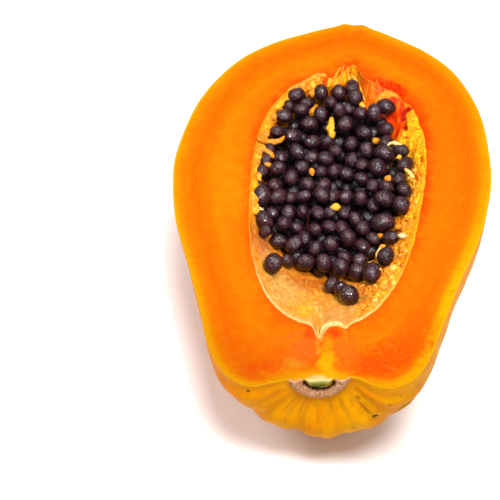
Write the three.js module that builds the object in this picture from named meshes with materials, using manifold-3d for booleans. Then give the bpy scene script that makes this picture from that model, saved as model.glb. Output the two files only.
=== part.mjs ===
// Half of a ripe papaya, cut lengthwise, lying on its skin with its seeds still in the hollow.
// Millimetres, +Z up. The fruit's axis runs from the stem end (-Y) to the blossom end (+Y).
// Two solids: the flesh with its rind and stem scar, and the heap of seeds that lies in its hollow.
import * as THREE from "three";
import { mergeVertices } from "three/addons/utils/BufferGeometryUtils.js";
import Module from "manifold-3d";

const wasm = await Module();
wasm.setup();

// ---- Sizes of the fruit, in its own frame: the cut lies in the plane z = 0 ----

// The rind from the rim of the stem scar to the blossom tip, as [distance from the axis, place along it].
const RIND_PROFILE = [
  [12.5, -77.2], // foot of the scar
  [20.5, -80.8], // crest of the shoulders that stand out round the scar
  [27, -79],
  [32, -74],
  [36.2, -65],
  [39.4, -53],
  [45, -34], // neck
  [51.4, -15],
  [55, 4],
  [55.5, 20], // widest
  [51.2, 45],
  [41.6, 65],
  [29.5, 77],
  [14.5, 85.4],
  [7, 88.8],
  [3.6, 90.6], // crest of the blossom nub
  [0, 90.1],
];
const BEND = 3.3; // how far the axis bows sideways over BEND_REACH
const BEND_REACH = 95;
const BEND_FROM = -20; // the place along the axis where the bow turns
const BEND_SHIFT = -1.8;
const LEAN = 0.08; // how far the body leans to the right for each mm below the cut
const DRAW = 0.07; // share of its width that it loses down at the keel

const LOBES = 10; // broad lobes round the fruit, strongest at the stem end
const LOBE_RISE = 0.8;
const LOBE_REST = 0.3; // share of that rise left beyond the neck
const RIBS = 22; // narrow ribs that run out from the stem scar
const RIB_RISE = 0.3;
const SHORT_SHOULDER = 3; // how much less the right shoulder stands out round the scar than the left
const SCAR_TILT = 0.11; // how the scar's face turns to the right, as mm for each mm across

// The stem scar: a stub of stalk, a groove round it, and a ring of cork.
const SCAR_FACE = -76.3; // place of the scar's face along the axis
const STUB_RADIUS = 4.2;
const STUB_RISE = 0.5;
const GROOVE_RADIUS = 4.8;
const GROOVE_DEPTH = 1.5;
const GROOVE_WIDTH = 0.6;
const CORK_RADIUS = 7.5;
const CORK_RISE = 1.1;
const CORK_WIDTH = 1.8;

// The hollow: a bowl whose rim is a superellipse, wider towards the blossom end.
const HOLLOW_Y = 2.8; // middle of the rim
const HOLLOW_HALF_WIDTH = 30;
const HOLLOW_HALF_LENGTH = 57.7;
const HOLLOW_POWER = 2.57;
const HOLLOW_TAPER = 0.0022; // share of width gained for each mm towards the blossom end
const HOLLOW_LEAN = 0.029;
const HOLLOW_SHIFT = 0.5;
const HOLLOW_DEPTH = 30; // under the heap
const SLOPE_DEPTH = 26; // what the slope from the stem end runs down to
const STEEP_SIDE = 0.62; // how the left wall falls away from the rim: less is steeper
const GENTLE_SIDE = 1.25; // the same for the right wall
// Clefts in the rim, as [direction in degrees, reach in mm, width in degrees].
const RIM_CLEFTS = [
  [89, 7.5, 3], // the pointed top of the hollow
  [-92, 5, 2.4], // the cleft towards the stem
  [-85, 1.6, 1.8],
];

// The heap of seeds.
const HEAP_X = -0.8;
const HEAP_Y = 17;
const HEAP_HALF_WIDTH = 27.6;
const HEAP_HALF_LENGTH = 43.5;
const HEAP_LEAN = 0.04;
const HEAP_POWER_FAR = 2.5; // round towards the blossom end
const HEAP_POWER_NEAR = 5; // square towards the stem
const HEAP_TOP = -2.4; // level of the seeds' middles along the heap's edge
const HEAP_DIP = 5; // how much lower they lie in the middle
const HEAP_SLUMP = 9.5; // how much lower at the stem end
const SEED_SPACING = 5.7;
const SEED_LENGTH = 6.8;
const SEED_WIDTH = 5.7;
const SEED_FACETS_OUT = 1.1; // corners stand out this much so that flat-faced seeds keep their bulk
const SEED_RANDOM = 20;
const CORE_SINK = 0.3; // how far the heap's core lies below the seeds' middles
// Seeds that have slid down the slope together, as [x, y].
const STRAYS = [
  [0.4, -26.2],
  [1.7, -30],
  [4.3, -33.4],
  [6.7, -37.3],
];

// How the half lies: it leans until its middle of mass is over the spot that it rests on.
const PITCH_DEG = 6; // the stem end dips
const ROLL_DEG = -4.5; // the right side lifts
const FLAT_DEPTH = 0.8; // what the soft rind gives where it rests

const CLEARANCE = 0.35; // gap between the seeds and the flesh
const RIM_ALLOWANCE = 8; // how far tools and heap reach above the cut

// ---- Sampling ----
const AROUND = 88; // faces round the whole fruit
const RIND_ROWS = 30;
const SCAR_ROWS = [1.6, 3, 4, 4.8, 5.6, 6.4, 7.5, 8.8, 10.2];
const HOLLOW_COLUMNS = 96;
const HOLLOW_ROWS = 9;
const HEAP_COLUMNS = 44;
const HEAP_ROWS = 6;

const TURN = 2 * Math.PI;
const clamp = (x, low, high) => Math.min(high, Math.max(low, x));
const bell = (x) => Math.exp(-x * x);

function ease(from, to, x) {
  const t = clamp((x - from) / (to - from), 0, 1);
  return t * t * (3 - 2 * t);
}

// A closed body from rings of equal length between two poles.
function closedBody(firstPole, rings, lastPole) {
  const n = rings[0].length;
  const points = [firstPole, ...rings.flat(), lastPole];
  const last = points.length - 1;
  const faces = [];
  for (let i = 0; i < n; i++) {
    const j = (i + 1) % n;
    faces.push(0, 1 + j, 1 + i);
    for (let r = 0; r < rings.length - 1; r++) {
      const a = 1 + r * n;
      const b = a + n;
      faces.push(a + i, a + j, b + j, a + i, b + j, b + i);
    }
    const end = 1 + (rings.length - 1) * n;
    faces.push(end + i, end + j, last);
  }
  const geometry = new THREE.BufferGeometry().setFromPoints(points);
  geometry.setIndex(faces);
  return geometry;
}

function solidOf(geometry) {
  const bare = geometry.clone();
  bare.deleteAttribute("normal");
  bare.deleteAttribute("uv");
  const merged = mergeVertices(bare, 1e-4);
  return new wasm.Manifold(
    new wasm.Mesh({
      numProp: 3,
      vertProperties: new Float32Array(merged.attributes.position.array),
      triVerts: new Uint32Array(merged.index.array),
    }),
  );
}

function geometryOf(solid) {
  const mesh = solid.getMesh();
  const geometry = new THREE.BufferGeometry();
  const places = new Float32Array(mesh.numVert * 3);
  for (let i = 0; i < mesh.numVert; i++)
    for (let k = 0; k < 3; k++) places[3 * i + k] = mesh.vertProperties[i * mesh.numProp + k];
  geometry.setAttribute("position", new THREE.BufferAttribute(places, 3));
  geometry.setIndex(new THREE.BufferAttribute(new Uint32Array(mesh.triVerts), 1));
  geometry.computeVertexNormals();
  return geometry;
}

// A box tool that takes away everything on its side of a level.
function slab(bottom, top) {
  const SIDE = 400;
  return solidOf(new THREE.BoxGeometry(SIDE, SIDE, top - bottom).translate(0, 0, (bottom + top) / 2));
}

// ---- The flesh ----

// The sideways bow of the fruit's axis.
const bow = (y) => BEND_SHIFT + BEND * ((y - BEND_FROM) / BEND_REACH) ** 2;

// How far the scar's face stands out at this distance from the axis: stub, groove, cork.
function scarRise(r) {
  const stub = STUB_RISE * (1 - ease(STUB_RADIUS - 1.2, STUB_RADIUS, r));
  const groove = GROOVE_DEPTH * bell((r - GROOVE_RADIUS) / GROOVE_WIDTH);
  const cork = CORK_RISE * bell((r - CORK_RADIUS) / CORK_WIDTH);
  return stub - groove + cork;
}

// Lobes and ribs at a place on the rind; each stands at zero or above where the fruit is cut.
function rindRise(y, r, angle) {
  const lobe = LOBE_RISE * (1 + Math.cos(LOBES * (angle + TURN / 4)));
  const lobeShare = LOBE_REST + (1 - LOBE_REST) * (1 - ease(-62, -15, y));
  const ribShare = ease(10, 16, r) * (1 - ease(-78, -54, y));
  const rib = RIB_RISE * Math.cos(RIBS * angle + 0.9) * ribShare;
  return lobe * lobeShare * ease(11, 24, r) + rib;
}

// How far a place at the stem end is drawn back along the axis, as its right side is shorter.
function stemSkew(y, out, angle) {
  const right = Math.cos(angle);
  const shoulder = SHORT_SHOULDER * ease(0, 1, right) * ease(6, 20, out) * (1 - ease(-70, -42, y));
  return shoulder + SCAR_TILT * out * right * (1 - ease(9, 18, out)) * (1 - ease(-70, -60, y));
}

// Rows of the fruit from the stem to the blossom end, each with the way that its rind faces.
function fruitRows() {
  const rows = SCAR_ROWS.map((r) => ({ r, y: SCAR_FACE - scarRise(r), outR: 0, outY: -1 }));
  const curve = new THREE.SplineCurve(RIND_PROFILE.map(([r, y]) => new THREE.Vector2(r, y)));
  for (let i = 0; i < RIND_ROWS; i++) {
    const t = i / RIND_ROWS;
    const { x: r, y } = curve.getPoint(t);
    const along = curve.getTangent(t);
    rows.push({ r, y, outR: along.y, outY: -along.x });
  }
  return rows;
}

function wholeFruit() {
  const rings = fruitRows().map(({ r, y, outR, outY }) =>
    Array.from({ length: AROUND }, (_, i) => {
      const angle = (-TURN * i) / AROUND;
      const rise = rindRise(y, r, angle);
      const out = r + outR * rise;
      const along = y + outY * rise + stemSkew(y, out, angle);
      const down = Math.sin(angle);
      const across = out * Math.cos(angle) * (1 - DRAW * down * down);
      return new THREE.Vector3(bow(along) + across - LEAN * out * down, along, out * down);
    }),
  );
  const stemY = SCAR_FACE - scarRise(0);
  const [, tipY] = RIND_PROFILE[RIND_PROFILE.length - 1];
  const stem = new THREE.Vector3(bow(stemY), stemY, 0);
  const tip = new THREE.Vector3(bow(tipY), tipY, 0);
  return closedBody(stem, rings, tip);
}

// ---- The hollow ----

// A point of the plan from its place in the rim's own square frame.
function hollowPlan(u, v) {
  return [HOLLOW_SHIFT + HOLLOW_LEAN * v + u * (1 + HOLLOW_TAPER * v), HOLLOW_Y + v];
}

// How far out a point lies: 0 in the middle of the hollow, 1 on its rim.
function hollowShare(x, y) {
  const v = y - HOLLOW_Y;
  const u = (x - HOLLOW_SHIFT - HOLLOW_LEAN * v) / (1 + HOLLOW_TAPER * v);
  const sum =
    Math.abs(u / HOLLOW_HALF_WIDTH) ** HOLLOW_POWER + Math.abs(v / HOLLOW_HALF_LENGTH) ** HOLLOW_POWER;
  return sum ** (1 / HOLLOW_POWER);
}

// Height of the hollow's wall: a bowl under the heap, an even slope towards the stem.
function wallHeight(share, x, y) {
  const nearness = 1 - ease(-28, 14, y);
  const power = STEEP_SIDE + (GENTLE_SIDE - STEEP_SIDE) * ease(0, 26, x);
  const bowl = HOLLOW_DEPTH * Math.max(0, 1 - share ** 2.2) ** power;
  const slope = SLOPE_DEPTH * Math.max(0, 1 - share ** 1.2);
  return -(bowl + (slope - bowl) * nearness);
}

// The hollow as a solid tool, drawn in from the real wall by inset, open upwards past the cut.
function hollowTool(inset, columns, rows, clefts) {
  const shares = Array.from({ length: rows }, (_, i) => Math.sin((TURN / 4) * ((i + 1) / rows)));
  const ringAt = (share, lift) =>
    Array.from({ length: columns }, (_, i) => {
      const angle = (TURN * i) / columns;
      const c = Math.cos(angle);
      const s = Math.sin(angle);
      const round = 2 / HOLLOW_POWER;
      const u = HOLLOW_HALF_WIDTH * Math.sign(c) * Math.abs(c) ** round;
      const v = HOLLOW_HALF_LENGTH * Math.sign(s) * Math.abs(s) ** round;
      const radius = Math.hypot(u, v);
      const degrees = (Math.atan2(v, u) * 360) / TURN;
      const cleft = clefts.reduce(
        (sum, [way, reach, width]) => sum + reach * bell((degrees - way) / width),
        0,
      );
      const scale = share * (1 + (cleft * share ** 3 - inset) / radius);
      const [x, y] = hollowPlan(u * scale, v * scale);
      return new THREE.Vector3(x, y, lift ?? wallHeight(share, x, y) + inset);
    });
  const rings = shares.map((share) => ringAt(share));
  rings.push(ringAt(1, RIM_ALLOWANCE));
  const [x, y] = hollowPlan(0, 0);
  const bottom = new THREE.Vector3(x, y, inset - HOLLOW_DEPTH);
  const top = new THREE.Vector3(x, y, RIM_ALLOWANCE);
  return solidOf(closedBody(bottom, rings, top));
}

// ---- The heap of seeds ----

// A small generator of even random numbers, so that the heap is the same every time.
let randomState = SEED_RANDOM;
function random() {
  randomState = (Math.imul(randomState, 1664525) + 1013904223) >>> 0;
  return randomState / 4294967296;
}

const heapMiddle = (y) => HEAP_X + HEAP_LEAN * (y - HEAP_Y);

// How far out a point lies in the heap: 0 in its middle, 1 on its edge.
function heapShare(x, y) {
  const power = y > HEAP_Y ? HEAP_POWER_FAR : HEAP_POWER_NEAR;
  const u = Math.abs((x - heapMiddle(y)) / HEAP_HALF_WIDTH) ** power;
  const v = Math.abs((y - HEAP_Y) / HEAP_HALF_LENGTH) ** power;
  return (u + v) ** (1 / power);
}

// Level of the seeds' middles: hollow in the middle of the heap, slumped at the stem end,
// and nowhere lower than a seed that lies on the wall.
function heapHeight(x, y) {
  const dip = HEAP_DIP * (1 - ease(0.2, 0.95, heapShare(x, y)));
  const slump = HEAP_SLUMP * (1 - ease(-30, 12, y));
  const onWall = wallHeight(hollowShare(x, y), x, y) + CLEARANCE + SEED_WIDTH / 2;
  return Math.max(HEAP_TOP - dip - slump, onWall);
}

// The share of the way out to the heap's edge at which a seed's side just meets that edge.
function edgeShare(x, y) {
  const share = heapShare(x, y);
  const reach = Math.hypot(x - heapMiddle(y), y - HEAP_Y) / share;
  return 1 - SEED_WIDTH / 2 / reach;
}

// Seeds on a jittered grid, pushed apart until few overlap, and kept inside the heap's edge.
function seedPlaces() {
  const rowGap = SEED_SPACING * Math.sqrt(0.75);
  const rows = Math.ceil(HEAP_HALF_LENGTH / rowGap);
  const columns = Math.ceil(HEAP_HALF_WIDTH / SEED_SPACING) + 1;
  const seeds = [];
  for (let row = -rows; row <= rows; row++)
    for (let column = -columns; column <= columns; column++) {
      const x = HEAP_X + (column + 0.5 * (row & 1) + 0.7 * (random() - 0.5)) * SEED_SPACING;
      const y = HEAP_Y + (row + 0.7 * (random() - 0.5)) * rowGap;
      if (heapShare(x, y) < edgeShare(x, y)) seeds.push({ x, y });
    }
  for (let round = 0; round < 12; round++)
    for (const a of seeds) {
      for (const b of seeds) {
        const dx = b.x - a.x;
        const dy = b.y - a.y;
        const gap = Math.hypot(dx, dy);
        if (a === b || gap >= SEED_SPACING || gap === 0) continue;
        const push = (0.25 * (SEED_SPACING - gap)) / gap;
        a.x -= dx * push;
        a.y -= dy * push;
      }
      const back = edgeShare(a.x, a.y) / heapShare(a.x, a.y);
      if (back < 1) {
        const across = (a.x - heapMiddle(a.y)) * back;
        a.y = HEAP_Y + (a.y - HEAP_Y) * back;
        a.x = heapMiddle(a.y) + across;
      }
    }
  for (const [x, y] of STRAYS) seeds.push({ x, y });
  for (const seed of seeds) {
    seed.z = heapHeight(seed.x, seed.y) + 2 * (random() - 0.3);
    seed.size = 0.88 + 0.24 * random();
    seed.turn = TURN * random();
    seed.tip = 1.6 * (random() - 0.5);
  }
  return seeds;
}

function seedSolid({ x, y, z, size, turn, tip }) {
  const grain = new THREE.IcosahedronGeometry(SEED_FACETS_OUT, 0);
  grain.scale((size * SEED_WIDTH) / 2, (size * SEED_LENGTH) / 2, (size * SEED_WIDTH) / 2);
  grain.rotateX(tip);
  grain.rotateZ(turn);
  grain.translate(x, y, z);
  return solidOf(grain);
}

// What lies under the seeds that show: everything in the hollow up to just below their middles.
function heapCore() {
  const COLUMNS = 26;
  const rings = [0.3, 0.6, 0.82, 0.94].map((share) =>
    Array.from({ length: COLUMNS }, (_, i) => {
      const angle = (TURN * i) / COLUMNS;
      const c = Math.cos(angle);
      const s = Math.sin(angle);
      const round = 2 / (s > 0 ? HEAP_POWER_FAR : HEAP_POWER_NEAR);
      const y = HEAP_Y + HEAP_HALF_LENGTH * share * Math.sign(s) * Math.abs(s) ** round;
      const x = heapMiddle(y) + HEAP_HALF_WIDTH * share * Math.sign(c) * Math.abs(c) ** round;
      return new THREE.Vector3(x, y, heapHeight(x, y) - CORE_SINK);
    }),
  );
  const foot = rings[rings.length - 1].map(({ x, y }) => new THREE.Vector3(x, y, -HOLLOW_DEPTH));
  const below = new THREE.Vector3(HEAP_X, HEAP_Y, -HOLLOW_DEPTH);
  const above = new THREE.Vector3(HEAP_X, HEAP_Y, heapHeight(HEAP_X, HEAP_Y) - CORE_SINK);
  return solidOf(closedBody(below, [foot, ...rings.reverse()], above));
}

// ---- Putting it together ----

const settled = new THREE.Group();
settled.rotation.set(
  THREE.MathUtils.degToRad(PITCH_DEG),
  THREE.MathUtils.degToRad(ROLL_DEG),
  0,
);
settled.updateMatrix();

// The lowest level of a solid as it lies, and a tool that flattens it there.
function lowestOf(geometry) {
  const lying = geometry.clone().applyMatrix4(settled.matrix);
  lying.computeBoundingBox();
  return lying.boundingBox.min.z;
}

function restingSpot(lowest) {
  const SIDE = 300;
  const tool = new THREE.BoxGeometry(SIDE, SIDE, SIDE);
  tool.translate(0, 0, lowest + FLAT_DEPTH - SIDE / 2);
  return solidOf(tool.applyMatrix4(settled.matrix.clone().invert()));
}

const fruit = wholeFruit();
const half = solidOf(fruit).subtract(slab(0, 200));
const lowest = lowestOf(geometryOf(half));
const hollow = hollowTool(0, HOLLOW_COLUMNS, HOLLOW_ROWS, RIM_CLEFTS);
const flesh = half.subtract(hollow).subtract(restingSpot(lowest));

const seeds = seedPlaces().map(seedSolid);
const room = hollowTool(CLEARANCE, HEAP_COLUMNS, HEAP_ROWS, []);
const heap = seeds.reduce((sum, seed) => sum.add(seed), heapCore()).intersect(room);
const [heapBody] = heap.decompose().sort((a, b) => b.volume() - a.volume());

const fleshMesh = new THREE.Mesh(
  geometryOf(flesh),
  new THREE.MeshStandardMaterial({ color: 0xfd7c0c, roughness: 0.45, metalness: 0 }),
);
fleshMesh.name = "papaya_half";

const seedMesh = new THREE.Mesh(
  geometryOf(heapBody),
  new THREE.MeshStandardMaterial({ color: 0x33202a, roughness: 0.3, metalness: 0 }),
);
seedMesh.name = "seed_heap";

settled.add(fleshMesh, seedMesh);

// The whole stands on z = 0 with the middle of its box over the origin.
const papaya = new THREE.Group();
papaya.add(settled);
papaya.updateMatrixWorld(true);
const extent = new THREE.Box3().setFromObject(papaya, true);
settled.position.set(
  -(extent.min.x + extent.max.x) / 2,
  -(extent.min.y + extent.max.y) / 2,
  -(lowest + FLAT_DEPTH),
);

export default papaya;
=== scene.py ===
"""Half of a ripe papaya, cut lengthwise, lying on its skin with its seeds still in the hollow.

Every shape is worked out in the fruit's own frame, in millimetres: the cut face is the plane z = 0, and the
fruit's axis runs from the stem end (-y) to the blossom end (+y). The last step of each piece lays it down in
the row, in metres.
"""
import math

import bpy
import numpy as np
from mathutils import Matrix, Vector, noise


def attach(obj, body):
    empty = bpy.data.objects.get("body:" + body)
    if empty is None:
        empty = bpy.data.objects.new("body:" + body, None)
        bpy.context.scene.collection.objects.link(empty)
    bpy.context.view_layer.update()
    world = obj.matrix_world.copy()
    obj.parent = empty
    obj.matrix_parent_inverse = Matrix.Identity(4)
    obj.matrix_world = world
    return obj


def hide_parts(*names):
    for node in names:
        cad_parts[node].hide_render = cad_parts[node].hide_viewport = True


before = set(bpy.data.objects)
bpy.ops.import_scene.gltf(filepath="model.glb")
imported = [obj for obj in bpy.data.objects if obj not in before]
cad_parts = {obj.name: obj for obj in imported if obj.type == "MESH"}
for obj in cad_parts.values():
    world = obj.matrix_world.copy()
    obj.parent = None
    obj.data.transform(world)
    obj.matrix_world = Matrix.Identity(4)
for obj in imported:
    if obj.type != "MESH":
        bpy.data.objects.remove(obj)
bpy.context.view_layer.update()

# ---- How the half lies ----
# It lies on its round skin. The stem end dips and the right side lifts, until its weight is over the spot
# that it rests on, where the soft rind has given a little.
PITCH = math.radians(6)
ROLL = math.radians(-4.5)
LIES_AT = Vector((1.009, -4.638, 53.658))  # the fruit's own origin in the row, in mm
MM = 0.001
TURN = 2 * math.pi
LAID = Matrix.Rotation(PITCH, 3, "X") @ Matrix.Rotation(ROLL, 3, "Y")


def lay(points):
    """From the fruit's own millimetres to metres in the row."""
    return (np.asarray(points, float) @ np.array(LAID).T + np.array(LIES_AT)) * MM


# ---- Camera ----
# It looks down on the half from the stem end, a little from the right.
AZIMUTH = math.radians(5)
ELEVATION = math.radians(50)
CAMERA_DISTANCE = 550  # mm from the fruit's own origin
FOCAL_PIXELS = 1590  # of a view that is 500 wide
VIEW_WIDTH = 500
ORIGIN_SEEN = (334, 200)  # where the fruit's own origin shows in that view
SENSOR = 36.0

camera_back = Vector(
    (
        math.sin(AZIMUTH) * math.cos(ELEVATION),
        -math.cos(AZIMUTH) * math.cos(ELEVATION),
        math.sin(ELEVATION),
    )
)
camera_right = Vector((math.cos(AZIMUTH), math.sin(AZIMUTH), 0))
camera_up = camera_back.cross(camera_right)
seen_right = (ORIGIN_SEEN[0] - VIEW_WIDTH / 2) / FOCAL_PIXELS * CAMERA_DISTANCE
seen_down = (ORIGIN_SEEN[1] - VIEW_WIDTH / 2) / FOCAL_PIXELS * CAMERA_DISTANCE
camera_at = camera_back * CAMERA_DISTANCE - camera_right * seen_right + camera_up * seen_down

camera_data = bpy.data.cameras.new("camera")
camera_data.sensor_width = SENSOR
camera_data.lens = SENSOR * FOCAL_PIXELS / VIEW_WIDTH
camera_data.clip_start = 0.01
camera_data.clip_end = 20


def put_in_scene(name, data):
    made = bpy.data.objects.new(name, data)
    bpy.context.scene.collection.objects.link(made)
    return made


camera = put_in_scene("camera", camera_data)
camera_axes = Matrix((camera_right, camera_up, camera_back)).transposed()
camera.matrix_world = Matrix.Translation(Vector(lay(camera_at))) @ (LAID @ camera_axes).to_4x4()
bpy.context.scene.camera = camera


def camera_ray(u, v):
    """The way, in the fruit's own frame, that is seen at u, v in the view."""
    across = camera_right * ((u - VIEW_WIDTH / 2) / FOCAL_PIXELS)
    return np.array((across - camera_up * ((v - VIEW_WIDTH / 2) / FOCAL_PIXELS) - camera_back).normalized())


SEEN_FROM = 4.0  # every surface lies lower than this
SEEN_REACH = 90
SEEN_STEP = 0.15


def seen_on(surface, u, v, lift=0.0):
    """The place that shows at u, v in the view on a surface given by its height; lift brings it nearer."""
    ray = camera_ray(u, v)
    along = (SEEN_FROM - camera_at.z) / ray[2] + np.arange(0, SEEN_REACH, SEEN_STEP)
    spots = np.array(camera_at) + ray * along[:, None]
    below = spots[:, 2] < surface(spots[:, 0], spots[:, 1])
    return spots[np.argmax(below)] - ray * lift


# ---- Skin ----
# The real skin is thin and leathery, green-yellow turning orange as the fruit ripens, with low ribs that run
# out from the stem scar. It is grown on to the flesh, and shows as a thin yellow line where it is cut. The
# scar has a stub of stalk, a dark groove round it, and a ring of dry cork.
RIND_PROFILE = [
    (12.5, -77.2),  # foot of the scar, as distance from the axis and place along it
    (20.5, -80.8),  # crest of the shoulders that stand out round the scar
    (27, -79),
    (32, -74),
    (36.2, -65),
    (39.4, -53),
    (45, -34),  # neck
    (51.4, -15),
    (55, 4),
    (55.5, 20),  # widest
    (51.2, 45),
    (41.6, 65),
    (29.5, 77),
    (14.5, 85.4),
    (7, 88.8),
    (3.6, 90.6),  # crest of the blossom nub
    (0, 90.1),
]
BEND = 3.3  # how far the axis bows sideways over BEND_REACH
BEND_REACH = 95
BEND_FROM = -20
BEND_SHIFT = -1.8
LEAN = 0.08  # how far the body leans to the right for each mm below the cut
DRAW = 0.07  # share of its width that it loses down at the keel
LOBES = 10
LOBE_RISE = 0.55
LOBE_REST = 0.3
RIBS = 22
RIB_RISE = 0.2
RIB_PHASE = 0.9
SHORT_SHOULDER = 3  # how much less the right shoulder stands out round the scar than the left
SCAR_TILT = 0.11
SCAR_FACE = -76.3
STUB_RADIUS = 4.2
STUB_RISE = 0.5
GROOVE_RADIUS = 4.8
GROOVE_DEPTH = 1.5
GROOVE_WIDTH = 0.6
CORK_RADIUS = 7.5
CORK_RISE = 1.1
CORK_WIDTH = 1.8
CORK_EDGE = 9.3  # where the cork ends, on the average
SKIN_THICK = 0.7
BROAD_UNEVEN, FINE_UNEVEN = 0.26, 0.10  # how far the leathery skin rises and falls
FURROW_DEPTH = 0.12
CORK_GRAIN, CORK_LUMP, STUB_LUMP = 0.34, 0.4, 0.35
CREASE_ANGLE = math.radians(60)  # a sharper edge than this isn't smoothed
SKIN_LIGHT = 0.7  # share of the light that reaches the skin round the scar
SKIN_COLUMNS = 300
SKIN_ROWS = 210
SCAR_ROWS = 52
INNER_COLUMNS = 40
FLAT_LEVEL = 0.0  # what the rind rests on


def ease(start, end, x):
    """0 before start, 1 after end, smooth in between."""
    t = np.clip((x - start) / (end - start), 0, 1)
    return t * t * (3 - 2 * t)


def bell(x):
    return np.exp(-np.square(x))


def bow(y):
    return BEND_SHIFT + BEND * ((y - BEND_FROM) / BEND_REACH) ** 2


def scar_rise(r):
    stub = STUB_RISE * (1 - ease(STUB_RADIUS - 1.2, STUB_RADIUS, r))
    groove = GROOVE_DEPTH * bell((r - GROOVE_RADIUS) / GROOVE_WIDTH)
    return stub - groove + CORK_RISE * bell((r - CORK_RADIUS) / CORK_WIDTH)


def smooth_line(points, t):
    """A smooth line through points, at t from 0 to 1."""
    points = np.array([points[0], *points, points[-1]], float)
    at = np.clip(np.asarray(t) * (len(points) - 3), 0, len(points) - 3 - 1e-9)
    i = at.astype(int)
    w = (at - i)[:, None]
    p0, p1, p2, p3 = (points[i + k] for k in range(4))
    v0 = (p2 - p0) / 2
    v1 = (p3 - p1) / 2
    return (2 * p1 - 2 * p2 + v0 + v1) * w**3 + (3 * p2 - 3 * p1 - 2 * v0 - v1) * w**2 + v0 * w + p1


def rind_rows():
    """Distance from the axis and place along it, from stem to blossom end, and the way each faces."""
    scar_r = np.linspace(0.2, 10.2, SCAR_ROWS)
    scar = np.stack([scar_r, SCAR_FACE - scar_rise(scar_r)], -1)
    body = smooth_line(RIND_PROFILE, np.linspace(0, 1, SKIN_ROWS, endpoint=False) ** 1.2)
    foot = [scar[-1] + (body[0] - scar[-1]) * k for k in (0.25, 0.5, 0.75)]
    rows = np.vstack([scar, foot, body])
    along = np.gradient(rows, axis=0)
    along /= np.linalg.norm(along, axis=1)[:, None]
    facing = np.stack([along[:, 1], -along[:, 0]], -1)
    facing[: len(scar)] = (0, -1)
    return rows, facing, len(scar)


def rib_wave(angle):
    return np.cos(RIBS * angle + RIB_PHASE)


def rind_rise(r, y, angle):
    lobe = LOBE_RISE * (1 + np.cos(LOBES * (angle + TURN / 4)))
    share = LOBE_REST + (1 - LOBE_REST) * (1 - ease(-62, -15, y))
    rib = RIB_RISE * rib_wave(angle) * ease(10, 16, r) * (1 - ease(-78, -54, y))
    # The groove round the stub is shallow where the knife went through it.
    healed = 0.8 * GROOVE_DEPTH * bell((r - GROOVE_RADIUS) / GROOVE_WIDTH) * (y < SCAR_FACE + 3)
    return lobe * share * ease(11, 24, r) + rib + healed * (1 - ease(0.1, 0.6, np.abs(np.sin(angle))))


def stem_skew(y, out, angle):
    """How far a place at the stem end is drawn back along the axis, as its right side is shorter."""
    right = np.cos(angle)
    shoulder = SHORT_SHOULDER * ease(0, 1, right) * ease(6, 20, out) * (1 - ease(-70, -42, y))
    return shoulder + SCAR_TILT * out * right * (1 - ease(9, 18, out)) * (1 - ease(-70, -60, y))


def rind_points(rows, facing, angles, rise):
    """The places of a sheet of the rind that stands out by rise from the plain rows."""
    out = rows[:, :1] + facing[:, :1] * rise
    along = rows[:, 1:] + facing[:, 1:] * rise + stem_skew(rows[:, 1:], out, angles)
    down = np.sin(angles)
    across = out * np.cos(angles) * (1 - DRAW * down**2)
    return np.stack([bow(along) + across - LEAN * out * down, along, out * down], -1)


def wander(points, size, salt=0.0):
    """Smooth random values from -1 to 1 that change over a distance of size, or of one size for each axis."""
    scaled = np.asarray(points, float) / size + np.array([17.3, 5.1, 11.9]) * salt
    return np.array([noise.noise(p) for p in scaled])


def pebbles(points, size, salt=0.0):
    """Round bumps about size across: 1 on top of each, falling to 0 in the creases between them."""
    scaled = np.asarray(points, float) / size + np.array([3.7, 9.2, 1.4]) * salt
    nearest = np.array([noise.voronoi(p)[0][0] for p in scaled])
    return np.clip(1 - 1.6 * nearest, 0, 1)


rows, facing, scar_count = rind_rows()
count = len(rows)
r, y = rows[:, :1], rows[:, 1:]
outer_angles = -np.linspace(0, TURN / 2, SKIN_COLUMNS)
outer_rise = rind_rise(r, y, outer_angles)
plain = rind_points(rows, facing, outer_angles, outer_rise).reshape(-1, 3)
is_scar = (np.arange(count) < scar_count)[:, None] * np.ones_like(outer_rise)

# Leathery unevenness everywhere, pinched furrows between the ribs, and grains on the cork.
round_way = np.stack([np.cos(outer_angles), np.sin(outer_angles), 0 * outer_angles], -1)
uneven = BROAD_UNEVEN * wander(plain, 15, 1) + FINE_UNEVEN * wander(plain, 4.5, 2)
uneven = uneven.reshape(outer_rise.shape)
near_stem = ease(9.8, 15, r) * (1 - ease(-79, -50, y)) * (1 - is_scar * (r < 9.8))
rib_strength = 0.55 + 0.9 * wander(round_way, 0.25, 3)
furrow_line = outer_angles + 0.05 * wander(plain, (14, 14, 14), 4).reshape(outer_rise.shape)
furrow = np.clip(-rib_wave(furrow_line) - 0.1, 0, 1) ** 1.4 * near_stem * np.clip(rib_strength, 0, 1.2)
ragged = 0.9 * wander(round_way, 0.16, 5) + 0.5 * wander(round_way, 0.07, 6)
cork_end = CORK_EDGE + ragged
cork = ease(5.1, 5.7, r) * (1 - ease(cork_end - 0.3, cork_end + 0.3, r)) * is_scar
grains = (0.8 * pebbles(plain, 0.9, 1) + 0.35 * pebbles(plain, 0.5, 2)).reshape(outer_rise.shape)
lumps = wander(plain, 2.2, 7).reshape(outer_rise.shape)
from_cut = np.abs(r * np.sin(outer_angles))
groove = ease(3.5, 3.9, r) * (1 - ease(5.2, 6.0, r + 0.3 * ragged)) * is_scar * ease(0.2, 1.6, from_cut)
stub = (1 - ease(STUB_RADIUS - 0.2, STUB_RADIUS + 0.1, r)) * is_scar
edge_calm = ease(0, 0.06, np.sin(-outer_angles))
outer_rise = outer_rise + edge_calm * (
    uneven * (1 - is_scar)
    - FURROW_DEPTH * furrow
    + cork * (CORK_GRAIN * grains + CORK_LUMP * lumps)
    + stub * STUB_LUMP * lumps
)
outer = rind_points(rows, facing, outer_angles, outer_rise)

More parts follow.
